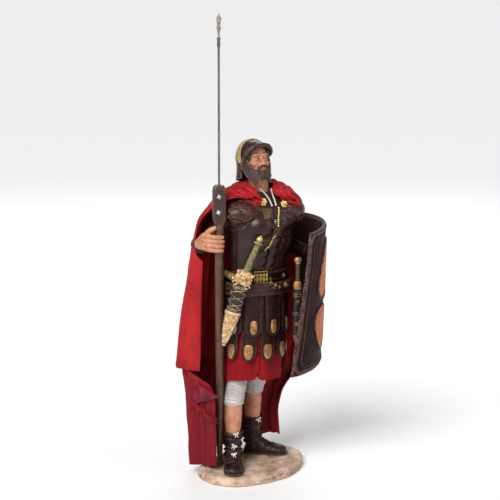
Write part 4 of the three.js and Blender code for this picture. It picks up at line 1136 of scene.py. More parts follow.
def boot(label, x, y, top, turn):
    """A boot with its straps round the shaft and over the foot; gives the boot and the straps."""
    upper, sole, at = boot_shapes(x, y, top, turn)
    body = fused(label + "_boot", upper, BOOT, "figure", voxel=0.5, rounds=5)
    piece(label + "_sole", sole, BOOT, "figure")
    straps = []
    for part, size, tilt in ((0.97, 8.3, 0), (0.8, 7.9, 1.2), (0.63, 7.7, -1.2), (0.46, 7.6, 1.2),
                             (0.3, 7.9, -1)):
        loop = []
        for a in round_angles(20):
            z = mix(BOOT_LOW, top, part) + tilt * math.sin(a) + 0.6 * math.cos(2 * a)
            loop.append(at(math.sin(a) * size * 1.05 + 0.3, z, math.cos(a) * size))
        straps.append(sweep(loop, 0.85, 8, 2, looped=True, flat=1.3))
    for out, high, half, dip in ((8, 13.6, 7.2, 1.4), (13.5, 10.2, 7.6, 2), (19, 8.4, 8, 2)):
        arc = []
        for a in steps_to(12, math.pi):
            arc.append(at(out + dip * math.sin(a) - dip, BOOT_LOW + 1 + (math.sin(a) ** 0.75) * high,
                          math.cos(a) * (half + 0.2)))
        straps.append(sweep(arc, 0.8, 8, 2, flat=1.2))
    return [body, piece(label + "_boot_straps", joined(*straps), STRAP, "figure")]


right_boot = boot("right", -17.2, -8, 40, -20)
left_boot = boot("left", 13.6, 21.6, 43, 60)


# Where the knots of the boots' laces are, and how far each bow is turned.
RIGHT_BOW_SPOTS = [(236, 435, 0.3), (234, 446, -0.4), (234, 455.5, 0.2)]
LEFT_BOW_SPOTS = [(258, 419, 0.5)]


def lace_bow(spots, carriers, size=0.9):
    """A short pale bow at each spot: two loops and two loose ends about a knot."""
    parts = []
    for x, y, turn in spots:
        knot = seen([(x, y)], carriers, 1.3)[0]
        frame_at = facing_eye(knot) @ Matrix.Rotation(turn, 4, "Z")
        paths = [[(0, 0, 0), (1.6, 1.5, 0.7), (2.7, 0.5, 0.3), (1.3, -0.2, 0.3), (0, 0, 0.2)],
                 [(0, 0, 0), (-1.5, 1.6, 0.7), (-2.6, 0.8, 0.3), (-1.3, -0.1, 0.3), (0, 0, 0.2)],
                 [(0, 0, 0), (0.8, -1.5, 0.5), (1, -3.4, 0.1)],
                 [(0, 0, 0), (-0.9, -1.3, 0.5), (-1.7, -2.8, 0.2)]]
        for path in paths:
            cord = sweep([Vector(p) * size for p in path], 0.42, 6, 3)
            parts.append(moved(cord, frame_at))
        parts.append(moved(ball(0, 0, 0.2, 0.8, 0.8, 0.7, 10), frame_at))
    return joined(*parts)


bows = joined(lace_bow(RIGHT_BOW_SPOTS, right_boot), lace_bow(LEFT_BOW_SPOTS, left_boot))
piece("boot_laces", bows, LACE, "figure")

# Cloak. Stations are height, middle, half sizes, the angles of its two edges, and fold depth.
CLOAK = [
    (264, 9.4, -4, 12, 12.6, 236, -56, 0), (259.5, 9.4, -3.6, 22.4, 18.4, 246, -66, 0.3),
    (254.5, 9, -3, 31.8, 22.6, 214, -40, 0.6), (243, 6.4, -2.4, 41.4, 27, 190, -24, 0.9),
    (230, 2.4, -1, 46.4, 32, 178, -4, 1.4), (206, 2, 2, 50.8, 34.5, 170, 10, 2.2),
    (150, -1, 3, 56, 36, 172, 13, 3), (98, -2.4, 4, 55.6, 38, 182, 18, 3.6),
    (86, -0.2, 4, 52.6, 37.6, 212, 20, 3.6), (50, -0.4, 4, 49.4, 36, 217, 30, 3.8),
    (9, 0.4, 4, 47.1, 34, 216, 28, 4),
]


def pleat(x):
    """A fold that is round outside and tight inside."""
    wave = math.sin(x)
    return wave if wave > 0 else -abs(wave) ** 0.7


def cloak_surface(s, z, out=0.0):
    """The cloak with its folds, from the right front edge, s = 0, to the left one, at a height."""
    x, y, a, b, start, end, depth = station(CLOAK, z)
    angle = mix(start, end, s) * RAD
    edge = 0.16 * bump(s, 0.07) + (0.08 - 0.22 * bump(z - 140, 56)) * bump(1 - s, 0.06)
    low = clamp((235 - z) / 60)
    wave = pleat(34 * s + 0.5 + 0.006 * z) + 0.5 * pleat(57 * s + 1.4 - 0.01 * z)
    spot = Vector((s * 9, z * 0.012, 0))
    wave += 0.8 * noise.noise(spot) + 0.28 * math.sin(103 * s + 0.03 * z + 2 * noise.noise(spot * 0.7))
    r = out + depth * wave + 8 * bump(1 - s, 0.09) * bump(z - 82, 10)
    high = clamp((z - 232) / 20)
    r += high * 0.55 * math.sin(70 * s + 4 * noise.noise(Vector((s * 5, z * 0.05, 3))))
    r += 0.5 * noise.noise(Vector((s * 60, z * 0.09, 7)))
    r += 0.9 * noise.noise(Vector((s * 22, z * 0.07, 9))) * low
    k = 1 - edge * low
    drop = clamp((z - 243) / 15) * 7 * max(0, -math.sin(angle))
    return Vector((x + (a * k + r) * math.cos(angle), y + (b * k + r) * math.sin(angle), z - drop))


# The part over the forearm, a curve between two ends with two handles at each height.
OVER_ARM = [
    (97, -46, -4, -60, -4, -74, 16, -50, 24), (150, -44, -1, -54, -1, -65, 15, -47, 22),
    (196, -41.5, 2, -47, 2, -51, 13, -41, 20), (204, -40.5, 3, -45, 3, -47, 12, -39, 19),
]


def over_arm_surface(s, t):
    """The cloak where it hangs over the right forearm."""
    z = mix(mix(195, 203, ease(s * 1.5)), 97.5 + 2 * s, t)
    x0, y0, x1, y1, x2, y2, x3, y3 = station(OVER_ARM, z)
    w = ((1 - s) ** 3, 3 * s * (1 - s) ** 2, 3 * s * s * (1 - s), s**3)
    x = w[0] * x0 + w[1] * x1 + w[2] * x2 + w[3] * x3
    y = w[0] * y0 + w[1] * y1 + w[2] * y2 + w[3] * y3
    fold = ease(t * 2) * (0.9 * math.sin(9 * s + 1.4 * t) + 0.5 * math.sin(23 * s + 2 * t))
    fold += 1.3 * noise.noise(Vector((s * 3, t * 2.2, 4))) + 0.35 * noise.noise(Vector((s * 9, t * 9, 1)))
    fold += 0.5 * bump(t - 0.972, 0.008) + 0.5 * bump(s - 0.035, 0.016)
    return Vector((x - fold * 0.8, y - fold * 0.6, z))


def cloak_main(s, t):
    """The cloak from its collar, t = 0, to its hem, which rises towards the front edges."""
    levels = [264, 259.5, 254.5, 248, 238, 220, 180, 120, 98, 84, 60, 9]
    f = t * (len(levels) - 1)
    i = min(int(f), len(levels) - 2)
    z = mix(levels[i], levels[i + 1], f - i)
    lift = 14 * ease((s - 0.45) / 0.5) + 4 * clamp(1 - s / 0.14)
    if z < 60:
        z += lift * (60 - z) / 51
    return cloak_surface(s, z, 0.5 * bump(t - 0.985, 0.006))


cloak = piece("cloak_cloth", sheet(cloak_main, 108 * DETAIL, 90 * DETAIL, 1.5, (190, 265)), CLOTH,
              "cloak", angle=70)
piece("cloak_over_arm", sheet(over_arm_surface, 36 * DETAIL, 50 * DETAIL, 1.6, (46, 105)), CLOTH,
      "cloak", angle=70)


def turned_corner(s, t):
    """The front edge of the cloak turned back low down, so that its lining shows."""
    top, left, right = Vector((0.05, 89)), Vector((0.185, 66)), Vector((-0.02, 76))
    spot = top.lerp(left, t).lerp(right, s)
    hill = math.sin(math.pi * s) * math.sin(math.pi * t)
    lay = 1.6 + 3.4 * (1 - s) * (0.4 + 0.6 * math.sin(math.pi * t)) + 1.4 * hill
    lay += 1.5 * bump(s - 0.42 - 0.2 * t, 0.12) + 0.8 * noise.noise(Vector((s * 4, t * 4, 2)))
    return cloak_surface(spot.x, spot.y, lay)


def corner_hem(s, t):
    """The doubled hem below the turned corner, from the fold line down to the front edge."""
    spot = Vector((0.18, 66)).lerp(Vector((-0.01, 54)), s)
    spot.y += mix(4.5, -3.2, t) * (1 - 0.35 * s)
    return cloak_surface(spot.x, spot.y, 1.6 + 2.6 * math.sin(math.pi * t) * (1 - 0.4 * s))


piece("cloak_turned_corner", sheet(turned_corner, steps_to(32, 0.97), 34, 1.3, (26, 32)), LINING, "cloak",
      angle=70)
piece("cloak_corner_hem", sheet(corner_hem, 34, 12, 1.4, (34, 8)), CLOTH, "cloak", angle=70)


def corner_rolls():
    """The soft rolls of red cloth above, beside and below the turned corner."""
    steps = steps_to(12)
    fold = [cloak_surface(mix(0.1, 0, k), mix(95, 79, k), 2.4) for k in steps]
    edge = [turned_corner(0.0, k) for k in steps]
    hem = [corner_hem(0.97 * k, 0.25) for k in steps]
    low = [corner_hem(0.97 * k, 0.85) for k in steps]
    shapes = []
    for path, size in ((fold, 1.7), (edge, 1.1), (hem, 1.9), (low, 1.1)):
        sizes = [size * mix(0.5, 1, clamp(4 * min(k, 1.1 - k))) for k in steps]
        shapes.append(sweep(path, sizes, 14, 2, flat=0.75))
    return joined(*shapes)


# The rolls are cloak cloth given the tunic's red, without the cloak's painted shade low down, so they read
# as lit.
piece("cloak_corner_rolls", corner_rolls(), TUNIC_CLOTH, "cloak", angle=80)


def collar_rolls():
    """The cloak gathered in three soft rolls about the neck."""
    rolls = []
    for z, size, out in ((262.6, 1.5, 0.6), (260, 1.8, 0.4), (256.8, 1.5, 0.2)):
        path, sizes = [], []
        for k in steps_to(56):
            s = mix(0.03, 0.97, k)
            wave = noise.noise(Vector((s * 14, z, 2)))
            path.append(cloak_surface(s, z + 1.1 * wave, out))
            full = 1 + 0.35 * noise.noise(Vector((s * 22, z, 5)))
            sizes.append(size * full * (1 - 0.7 * bump(s - 0.03, 0.02)))
        rolls.append(sweep(path, sizes, 12, 2))
    return joined(*rolls)


collar = piece("cloak_collar", collar_rolls(), CLOTH, "cloak", angle=80)


# Skirts.
SKIRT = [(86, 4.4, -1.4, 28.2, 22.8), (104, 4.8, -2.2, 27.2, 22), (130, 5.4, -3, 26.2, 20.8),
         (160, 6.2, -3.8, 25, 18.8), (182, 6.8, -4.4, 24.6, 18)]
STRIPS, STRIPS_TOP, LOWER_TIPS, UPPER_TIPS = 10, 172, 107, 130
STRIP_ROUND = 0.84  # where along a strip its round end starts
STRIP_HALF, CLEAR = 0.75, 0.3  # half a strip's thickness, and the room left between layers
LOWER_OUT = CLEAR + STRIP_HALF
UPPER_OUT = LOWER_OUT + 2 * STRIP_HALF + 0.9 + CLEAR
SASH_OUT = UPPER_OUT + 2 * STRIP_HALF + CLEAR
STRIPS_TURN = -82 * RAD
ROSY_TIP_AT = ("upper", 8)  # the one strip with a tip of another metal
TUNIC_TOP, TUNIC_HEM = 158, 88


def skirt_point(angle, z, out):
    """A point round the hips at an angle and a height."""
    x, y, a, b = station(SKIRT, z)
    return Vector((x + (a + out) * math.cos(angle), y + (b + out) * math.sin(angle), z))


def tunic_surface(s, t):
    """The tunic's skirt, open low in front where one edge laps over the other."""
    z = mix(TUNIC_TOP, TUNIC_HEM, t)
    angle = mix(-103, 263.5, s) * RAD
    loose = clamp((150 - z) / 62)
    fold = loose * (1.1 * math.sin(8 * angle + 0.6) + 0.6 * math.sin(5 * angle + 2)
                    + 0.4 * noise.noise(Vector((angle * 6, z * 0.05, 3))))
    over = 1.3 * bump(1 - s, 0.02) - 1.2 * bump(s, 0.02)
    split = 7 * (bump(1 - s, 0.012) + bump(s, 0.016)) * ease((t - 0.7) / 0.3)
    p = skirt_point(angle, z, fold - 2 + over + 0.5 * bump(t - 0.975, 0.01))
    p.z += split + 0.7 * math.sin(3 * angle + 1) * t
    return p


piece("tunic_cloth", sheet(tunic_surface, 120 * DETAIL, 32 * DETAIL, 1.2, (165, 70)), TUNIC_CLOTH,
      "tunic", angle=70)


def strip_surface(k, middle, low, out):
    """The face of a strip, by how far across, down and out a point of it is."""
    def surface(s, t, extra=0.0):
        past = max(0, t - STRIP_ROUND) / 0.163
        end = math.sqrt(max(0.02, 1 - past**2))
        half = math.pi / STRIPS * mix(0.95, 0.8, ease(t * 1.5)) * end
        angle = middle + (s - 0.5) * 2 * half
        z = mix(STRIPS_TOP - 2, low, t)
        crown = 1 - (2 * s - 1) ** 2
        lift = 0.5 * t + 0.35 * crown + 0.25 * math.sin(5 * t + 2.3 * k)
        rough = 0.18 * noise.noise(Vector((angle * 14, z * 0.16, k)))
        return skirt_point(angle, z, out + lift + extra + rough)

    return surface


def strip_shapes(surface):
    """A strip with a rounded end, and the seams along its two sides."""
    steps = steps_to(22, STRIP_ROUND)[:-1] + [STRIP_ROUND + i for i in steps_to(10, 0.16)]
    seams = [[surface(s, t, STRIP_HALF) for t in steps_to(16, 0.97)] for s in (0.1, 0.9)]
    return [sheet(surface, 10, steps, 1.4, (14, 60))] + [sweep(seam, 0.3, 6, 1) for seam in seams]


def strip_tip(surface, down, tall, wide):
    """The worn metal tip of a strip, a low grooved dome."""
    def spot(u, v, extra=0.0):
        a = 2 * math.pi * u
        c, d = (math.copysign(abs(w) ** 0.6, w) for w in (math.cos(a), math.sin(a)))
        s = 0.5 + wide * v * c
        t = down + tall * v * d
        groove = 0.2 * math.sin(34 * (s - 0.5)) * (1 - v**4)
        return surface(s, clamp(t, 0, 0.995), extra or STRIP_HALF + 0.85 * (1 - v**3) + groove)

    rings = [[spot(j / 28, v) for j in range(28)] for v in (1, 0.97, 0.9, 0.78, 0.6, 0.4, 0.2)]
    return ringed([[spot(j / 28, 1, 0.1) for j in range(28)]] + rings)


def strip_row(label, low, out, start, tip):
    """A row of leather strips hung from a band, and the tips set on them."""
    node_name = "skirt_strips_" + label
    strips, tips, rosy = [], [], []
    for k in range(STRIPS):
        surface = strip_surface(k, start + 2 * math.pi * k / STRIPS, low, out)
        strips += strip_shapes(surface)
        (rosy if (label, k) == ROSY_TIP_AT else tips).append(strip_tip(surface, *tip))
    top = STRIPS_TOP
    band = hoop(lambda a, z, o: skirt_point(a, z, out + o),
                [(-0.8, top), (0.8, top), (1.1, top - 1.2), (1.1, top - 4), (0.8, top - 5),
                 (-0.8, top - 5)])
    piece("strips_" + label, joined(band, *strips), STRAP, node_name, angle=60)
    piece("strip_tips_" + label, joined(*tips), TIP, node_name, angle=60)
    if rosy:
        piece("strip_tips_rosy", joined(*rosy), ROSE_TIP, node_name, angle=60)


strip_row("lower", LOWER_TIPS, LOWER_OUT, STRIPS_TURN, (0.875, 0.105, 0.29))
strip_row("upper", UPPER_TIPS, UPPER_OUT, STRIPS_TURN + 8 * RAD, (0.81, 0.15, 0.2))


def torso_point(angle, z, out):
    """A point round the cuirass at an angle and a height."""
    x, y, a, b = station(TORSO, z)
    c, s = math.cos(angle), math.sin(angle)
    return Vector((x + math.copysign(abs(c) ** (2 / SQUARE), c) * (a + out),
                   y + math.copysign(abs(s) ** (2 / SQUARE), s) * (b + out), z))


def sash_shape():
    """Three rolls of folded leather about the waist."""
    section = [(0, 166), (1.1, 165.8), (2, 166.8), (2.4, 168.4), (1.9, 169.6), (2.5, 170.8),
               (2.7, 172.4), (2, 173.7), (2.4, 174.8), (2.2, 176), (1.2, 177), (0, 177)]

    def surface(a, z, o):
        crease = 0.35 * noise.noise(Vector((math.cos(a) * 4, math.sin(a) * 4, z * 0.5)))
        rise = 1.1 * math.sin(a + 0.6)
        if o <= 0.5:
            return skirt_point(a, z, SASH_OUT + o)
        p = skirt_point(a, z, SASH_OUT + o + crease)
        p.z += rise * 0.4
        return p

    return hoop(surface, section, 140)


sash = piece("sash_folds", sash_shape(), SASH, "sash", angle=80)
belt_section = [(0.3, 177.6), (2, 177.6), (2.6, 178.2), (2.6, 179.2), (2.2, 179.6), (2.2, 184.4),
                (2.6, 184.8), (2.6, 185.8), (2, 186.4), (0.3, 186.4)]
belt = piece("belt_strap", hoop(torso_point, belt_section, 120), STRAP, "belt", angle=40)


def belt_frame(angle, z, out):
    """Across, up and outwards on the belt at an angle round the waist."""
    a = angle * RAD
    at = torso_point(a, z, out)
    across = (torso_point(a + 0.02, z, out) - at).normalized()
    return framed(at, across, UP, across.cross(UP).normalized())


def by_hand(name, matrix, finish, node_name, angle):
    """Puts the object that is being modelled, drawn in mm, in its place on the figure."""
    obj = bpy.context.object
    obj.name = name
    obj.data.name = name
    to_part = Matrix.Translation(STAND * MM) @ Matrix.Scale(MM, 4)
    obj.matrix_world = to_part @ matrix
    bpy.ops.object.select_all(action="DESELECT")
    obj.select_set(True)
    bpy.ops.object.transform_apply(location=True, rotation=True, scale=True)
    obj.select_set(False)
    return take(obj, finish, node_name, angle)


def openwork(name, wide, tall, columns, rows, matrix, finish, node_name):
    """A plate of sunk cells with a small boss in each, its edges bevelled."""
    bpy.ops.mesh.primitive_grid_add(x_subdivisions=columns, y_subdivisions=rows, size=1)
    bpy.ops.object.mode_set(mode="EDIT")
    bpy.ops.transform.resize(value=(wide, tall, 1))
    bpy.ops.mesh.select_mode(type="FACE")
    bpy.ops.mesh.inset(thickness=0.55, use_individual=True)
    bpy.ops.transform.translate(value=(0, 0, -0.7))
    bpy.ops.mesh.inset(thickness=0.3, use_individual=True)
    bpy.ops.transform.translate(value=(0, 0, 0.9))
    bpy.ops.mesh.select_all(action="SELECT")
    bpy.ops.mesh.normals_make_consistent(inside=False)
    bpy.ops.object.mode_set(mode="OBJECT")
    obj = bpy.context.object
    bevel = obj.modifiers.new("edges", "BEVEL")
    bevel.width = 0.18
    bevel.segments = 2
    apply_modifiers(obj)
    bpy.context.view_layer.objects.active = obj
    return by_hand(name, matrix, finish, node_name, 50)


# Shoulder guards.
def guard_point(centre, radii, angle, low, t, out=0.0):
    """From the top of a shoulder guard, t = 0, to its lower edge, t = 1."""
    rx, ry, rz = radii
    end = math.asin(clamp((low - centre[2]) / rz, -0.95, 0.95))
    rise = mix(86 * RAD, end, t)
    return Vector((centre[0] + (rx + out) * math.cos(rise) * math.cos(angle),
                   centre[1] + (ry + out) * math.cos(rise) * math.sin(angle),
                   centre[2] + (rz + out) * math.sin(rise)))


def guard_layer(name, centre, radii, low, wave, tip, node_name):
    """One layer of a shoulder guard: a creased shell with a wavy lower edge and two rims."""
    def edge_low(angle):
        point = 3.4 * bump(math.remainder(angle - tip, 2 * math.pi), 0.5)
        return low + wave * math.cos(2 * (angle - 0.9)) + 0.6 * math.sin(5 * angle) - point

    def surface(s, t, out=0.0):
        angle = 2 * math.pi * s
        crease = 1.1 * noise.noise(Vector((math.cos(angle) * 2.4, math.sin(angle) * 2.4, t * 2.5)))
        crease += 0.5 * noise.noise(Vector((math.cos(angle) * 6, math.sin(angle) * 6, t * 5)))
        return guard_point(centre, radii, angle, edge_low(angle), t, out + crease * clamp(t * 2))

    rings = [[surface(j / 80, t) for j in range(80)] for t in steps_to(20)]
    inner = [[surface(j / 80, 1 - t, -1.6) for j in range(80)] for t in steps_to(20)]
    shell = ringed(rings + inner)
    rims = [sweep([surface(k / 48, t, 0.2) for k in range(48)], size, 8, 1, looped=True)
            for t, size in ((0.99, 0.7), (0.88, 0.3))]
    return piece(name, joined(shell, *rims), GUARD, node_name, angle=60)


RIGHT_SHOULDER, LEFT_SHOULDER = (-9.5, -5.4, 237), (34, -4.2, 236.5)
guards = [
    guard_layer("right_guard_lower", RIGHT_SHOULDER, (15.9, 19, 13.6), 225.6, 1.6, -2.2,
                "shoulder_guard_right"),
    guard_layer("right_guard_upper", RIGHT_SHOULDER, (17.4, 19.8, 12.9), 232.4, 2.2, -1.1,
                "shoulder_guard_right"),
    guard_layer("left_guard_upper", LEFT_SHOULDER, (17.2, 19.6, 12.8), 232.6, 2.2, -1,
                "shoulder_guard_left"),
]

# Shield.
SHIELD_AXIS = Vector((16.7, -6.8, 0))
SHIELD_LOW, SHIELD_TALL, SHIELD_RADIUS = 98, 128, 50


def shield_point(s, t, out=0.0):
    """The face, from its near edge, s = 0, to the far one, and from its top, t = 0, down."""
    front = mix(-44, -62, t)
    angle = (-22 + mix(front, 58, s)) * RAD
    r = SHIELD_RADIUS + out
    x, y = r * math.cos(angle), r * math.sin(angle)
    back = 0.375 * x + 0.927 * y
    bulge = math.sin(math.pi * s)
    high = SHIELD_LOW + SHIELD_TALL + 0.1 * back + bulge
    low = SHIELD_LOW + 7 + 0.17 * back - 0.6 * bulge
    lean = 4.8 * max(0, t - 0.25)
    return SHIELD_AXIS + Vector((x - 0.927 * lean, y + 0.375 * lean, mix(high, low, t)))


def shield_pieces():
    """The curved face with its rim, the bead inside the rim, and the grip."""
    def plate(s, t):
        worn = 0.3 * noise.noise(Vector((s * 9, t * 7, 1)))
        worn += 0.15 * noise.noise(Vector((s * 40, t * 12, 2)))
        return shield_point(s, t, worn)

    face = sheet(plate, 48 * DETAIL, 56 * DETAIL, 1.9, (84, 128))
    piece("shield_face", face, SHIELD_LEATHER, "shield", angle=60)
    corner = 0.02
    side = steps_to(20)[1:-1]
    loop = [(s, 0.0) for s in side] + [(1.0, t) for t in side]
    loop += [(1 - s, 1.0) for s in side] + [(0.0, 1 - t) for t in side]
    spots = [shield_point(mix(corner, 1 - corner, s), mix(corner, 1 - corner, t)) for s, t in loop]
    for p in spots:
        p.z += 0.25 * noise.noise(p * 0.3)
    piece("shield_rim", sweep(spots, 1.95, 12, 3, looped=True), RIM, "shield")
    inner = [(mix(0.075, 0.925, s), mix(0.05, 0.95, t)) for s, t in loop]
    bead = sweep([shield_point(s, t, 1.1) for s, t in inner], 0.35, 8, 2, looped=True)
    piece("shield_bead", bead, RIM, "shield")
    grip = [(SHIELD_AXIS.x + r * math.cos(a * RAD), SHIELD_AXIS.y + r * math.sin(a * RAD), 199, 2.4, 1)
            for a, r in ((2, 49.2), (-2, 45), (-11, 42.6), (-20, 45), (-24, 49.2))]
    piece("shield_grip", limb(grip, 20, 6, side=UP), STRAP, "shield")


shield_pieces()


def leaf(s0, t0, wide, tall, lean, rim=False):
    """A raised leaf of the shield's ornament, or the cord round it."""
    def edge(u, k=1.0):
        a = 2 * math.pi * u
        w = wide * (1 - 0.35 * math.sin(a)) * k
        return s0 + w * math.cos(a) + lean * math.sin(a), t0 - tall * math.sin(a) * k

    if rim:
        return sweep([shield_point(*edge(j / 40), 1.4) for j in range(40)], 0.75, 8, 2, looped=True)
    rings = [[shield_point(*edge(j / 48), 0.5) for j in range(48)]]
    for k in (1, 0.92, 0.75, 0.5, 0.25):
        vein = 0.3 * (k < 0.3)
        rings.append([shield_point(*edge(j / 48, k), 2 - 0.5 * k * k - vein) for j in range(48)])
    return ringed(rings)


def emblem():
    """Four painted leaves about the middle of the shield, each with a dark border."""
    leaves = [(s, t, 0.13, tall, lean) for t, tall in ((0.3, 0.2), (0.72, -0.16))
              for s, lean in ((0.35, 0.03), (0.69, -0.03))]
    fills = [leaf(*row) for row in leaves]
    cords = [leaf(*row, rim=True) for row in leaves]
    piece("shield_leaves", joined(*fills), ORANGE, "shield", angle=50)
    piece("shield_leaf_cords", joined(*cords), SHIELD_LEATHER, "shield")
    boss = ball(0, 0, 0, 8, 8, 1.8, 32)
    at = shield_point(0.52, 0.51, 0.8)
    out = at - SHIELD_AXIS
    out.z = 0
    turn = out.normalized().to_track_quat("Z", "Y").to_matrix().to_4x4()
    # The boss takes the brass with painted shade.
    piece("shield_boss", moved(boss, Matrix.Translation(at) @ turn), SHADED_BRASS, "shield")


emblem()


# Swords, drawn down the middle of hilt and scabbard.
SHORT_SWORD = [Vector(p) for p in ((-1.1, -31.4, 216.5), (-14.8, -29.4, 184), (-29.6, -17, 121.5))]
LONG_SWORD = [Vector(p) for p in ((40, -20.6, 194), (39.8, -20.4, 171), (39, -19, 118))]
FACING = Vector((-0.37, -0.93, 0.1))


def axis_frame(a, b):
    """Across, outwards and along for things set on the line from a towards b, in mm from a."""
    run = (b - a).normalized()
    out = (FACING - run * FACING.dot(run)).normalized()
    return framed(a, run.cross(out), out, run)


def turned_on(matrix, rows, count=32, square=2.0, rough=0.0):
    """Ovals at distances along an axis: each row is distance, half across, half deep."""
    rings = []
    for h, a, b in smooth_run([list(r) for r in rows], 3):
        ring = level_oval(0, 0, h, a, b, count, square)
        if rough:
            for p in ring:
                p += Vector((p.x, p.y, 0)).normalized() * rough * noise.noise(p * 0.8)
        rings.append(ring)
    return moved(ringed(rings), matrix)


def ring_on(matrix, h, a, b, size):
    """A cord laid round an axis at a distance along it."""
    return moved(sweep(level_oval(0, 0, h, a, b, 28), size, 8, 1, looped=True), matrix)


def wound(matrix, low, high, rows, turns, start, size):
    """A cord wound round an oval scabbard between two distances."""
    path = []
    for t in steps_to(60):
        h = mix(low, high, t)
        a, b = station(rows, h)
        angle = start + 2 * math.pi * turns * t
        path.append((a * math.cos(angle), b * math.sin(angle), h))
    return moved(sweep(path, size, 7, 1), matrix)


def flower(matrix, reach, petals, size, high):
    """A modelled flower: petals with a vein each, about a ring of beads and a middle bead."""
    parts = [ball(0, 0, 0, reach * 0.62, reach * 0.62, high * 0.8, 20),
             ball(0, 0, high * 0.7, size, size, size * 0.8, 14)]
    bead = size * 0.36
    for a in round_angles(petals):
        along = Vector((math.cos(a), math.sin(a), 0))
        petal = [(*(along * reach * d), w, h) for d, w, h in
                 ((0.25, size * 0.5, high * 0.5), (0.55, size * 0.95, high * 0.62),
                  (0.85, size * 0.8, high * 0.5), (1.0, size * 0.3, high * 0.2))]
        parts.append(limb(petal, 12, 3, side=(-along.y, along.x, 0)))
        vein = [along * reach * d + UP * high * h for d, h in ((0.4, 0.72), (0.95, 0.35))]
        parts.append(sweep(vein, size * 0.16, 6, 3))
        b = a + math.pi / petals
        parts.append(ball(math.cos(b) * reach * 0.5, math.sin(b) * reach * 0.5, high * 0.55, bead, bead,
                          bead, 10))
    return moved(joined(*parts), matrix)


SCABBARD_START = 0.16  # how far past its mouth the scabbard shows, as a share of the hilt


def sword_axes(top, mouth, tip):
    """The frames and lengths of a sword's hilt and of its scabbard."""
    length = (mouth - top).length
    start = mouth + (mouth - top).normalized() * (SCABBARD_START * length + 2)
    return axis_frame(top, mouth), length, axis_frame(start, tip), (tip - start).length


def short_hilt(hilt, length, top, mouth):
    node_name = "short_sword_hilt"
    knob = [(-3.4, 0.4, 0.4), (-3, 1.2, 1.2), (-2.2, 1.3, 1.3), (-1.8, 2.4, 2.4), (-0.4, 3, 3),
            (1.2, 2.9, 2.9), (2.4, 2, 2), (2.8, 1.6, 1.6)]
    pommel = joined(turned_on(hilt, knob), ring_on(hilt, 0.4, 3, 3, 0.3),
                    ring_on(hilt, -1.9, 1.9, 1.9, 0.35))
    piece("short_sword_pommel", pommel, BRASS, node_name)
    grip = [(2.6, 2.2, 2), (3, 3.8, 3), (4, 4, 3.1), (4.8, 3.2, 2.8), (5.2, 1.9, 1.9)]
    grip += [(7 + 2.2 * k, 2.1 + 0.25 * (k % 2) + 0.05 * k, 1.9 + 0.2 * (k % 2)) for k in range(10)]
    grip += [(length - 3, 2.8, 2.4)]
    ribs = []
    for a in round_angles(6):
        rib = [(x * math.cos(a), y * math.sin(a), h) for x, y, h in
               ((2.1, 2, 5.5), (2.5, 2.3, 18), (2.7, 2.4, length - 5))]
        ribs.append(moved(sweep(rib, 0.32, 6, 4), hilt))
    piece("short_sword_grip", joined(turned_on(hilt, grip), *ribs), OLIVE, node_name)
    run = (mouth - top).normalized()
    out = (FACING - run * FACING.dot(run)).normalized()
    face = framed(mouth + out * 1.6 + run * 1.2, run.cross(out), -run, out)
    block = [(length - 6, 3, 3), (length - 4.6, 5.4, 4.2), (length - 1, 7.4, 4.6),
             (length + 3, 7.6, 4.6), (length + 6, 6.6, 4.2), (length + 7, 5, 3.6)]
    guard = [flower(face, 7.4, 6, 2.5, 3.4), turned_on(hilt, block, 40, 2.4, 0.9)]
    for side, _ in SIDES:
        scroll = []
        for a in steps_to(11, 5.5):
            curl = 2.4 * (1 - a / 9)
            scroll.append((side * (5.4 + curl * math.cos(a)), -6 + curl * math.sin(a), 2.6))
        guard.append(moved(sweep(scroll, 0.7, 8, 3), face))
        guard.append(moved(ball(side * 6.4, 4.6, 1.6, 1.6, 1.6, 1.4, 14), face))
    fused("short_sword_guard", joined(*guard), PALE, node_name, voxel=0.22, rounds=1)


def short_scabbard(case, full):
    node_name = "short_sword_scabbard"
    rows = [(0, 5.6, 3), (0.8, 6.4, 3.4), (full * 0.2, 6.3, 3.3), (full * 0.42, 5.9, 3)]
    sheath = rows + [(full * 0.46, 5.6, 2.9)]
    piece("short_scabbard_leather", turned_on(case, sheath, 40, 2.6, 0.25), BLACK, node_name)
    around = [(h, a + 0.15, b + 0.15) for h, a, b in rows]
    lashings = [wound(case, 1.4, full * 0.38, around, turns, start_at, 0.26)
                for turns, start_at in ((1.5, 0), (-1.5, math.pi), (1.5, math.pi), (-1.5, 0))]
    lashings += [ring_on(case, h, *(v + 0.15 for v in station(rows, h)), 0.3)
                 for h in (0.9, 2.2, full * 0.375, full * 0.4)]
    piece("short_scabbard_lashing", joined(*lashings), TIP, node_name)
    chape = [(full * 0.425, 5.6, 3), (full * 0.43, 6.6, 3.7), (full * 0.46, 6.9, 3.9),
             (full * 0.49, 6.4, 3.6), (full * 0.66, 5.4, 3.1), (full * 0.82, 3.7, 2.4),
             (full * 0.92, 2.4, 1.8), (full * 0.965, 1.5, 1.3), (full * 0.98, 1.9, 1.7), (full, 0.5, 0.5)]
    parts = [turned_on(case, chape, 48, 2.6, 0.5), ring_on(case, full * 0.455, 6.7, 3.8, 0.5)]
    draw = random.Random(8)
    for _ in range(90):
        h = full * draw.uniform(0.48, 0.95)
        a, b = station(chape, h)
        angle = draw.uniform(0, 2 * math.pi)
        size = draw.uniform(0.3, 0.75)
        fleck = ball(a * math.cos(angle), b * math.sin(angle), h, size, size, size * draw.uniform(0.8, 1.8),
                     8)
        parts.append(moved(fleck, case))
    piece("short_scabbard_chape", joined(*parts), PALE, node_name, angle=60)
    for side, _ in SIDES:
        seam = [(side * x * 0.97, 0, h) for h, x, y in chape[1:8]]
        piece("chape_seam_%d" % (side > 0), moved(sweep(seam, 0.7, 8, 3), case), GRIP, node_name)


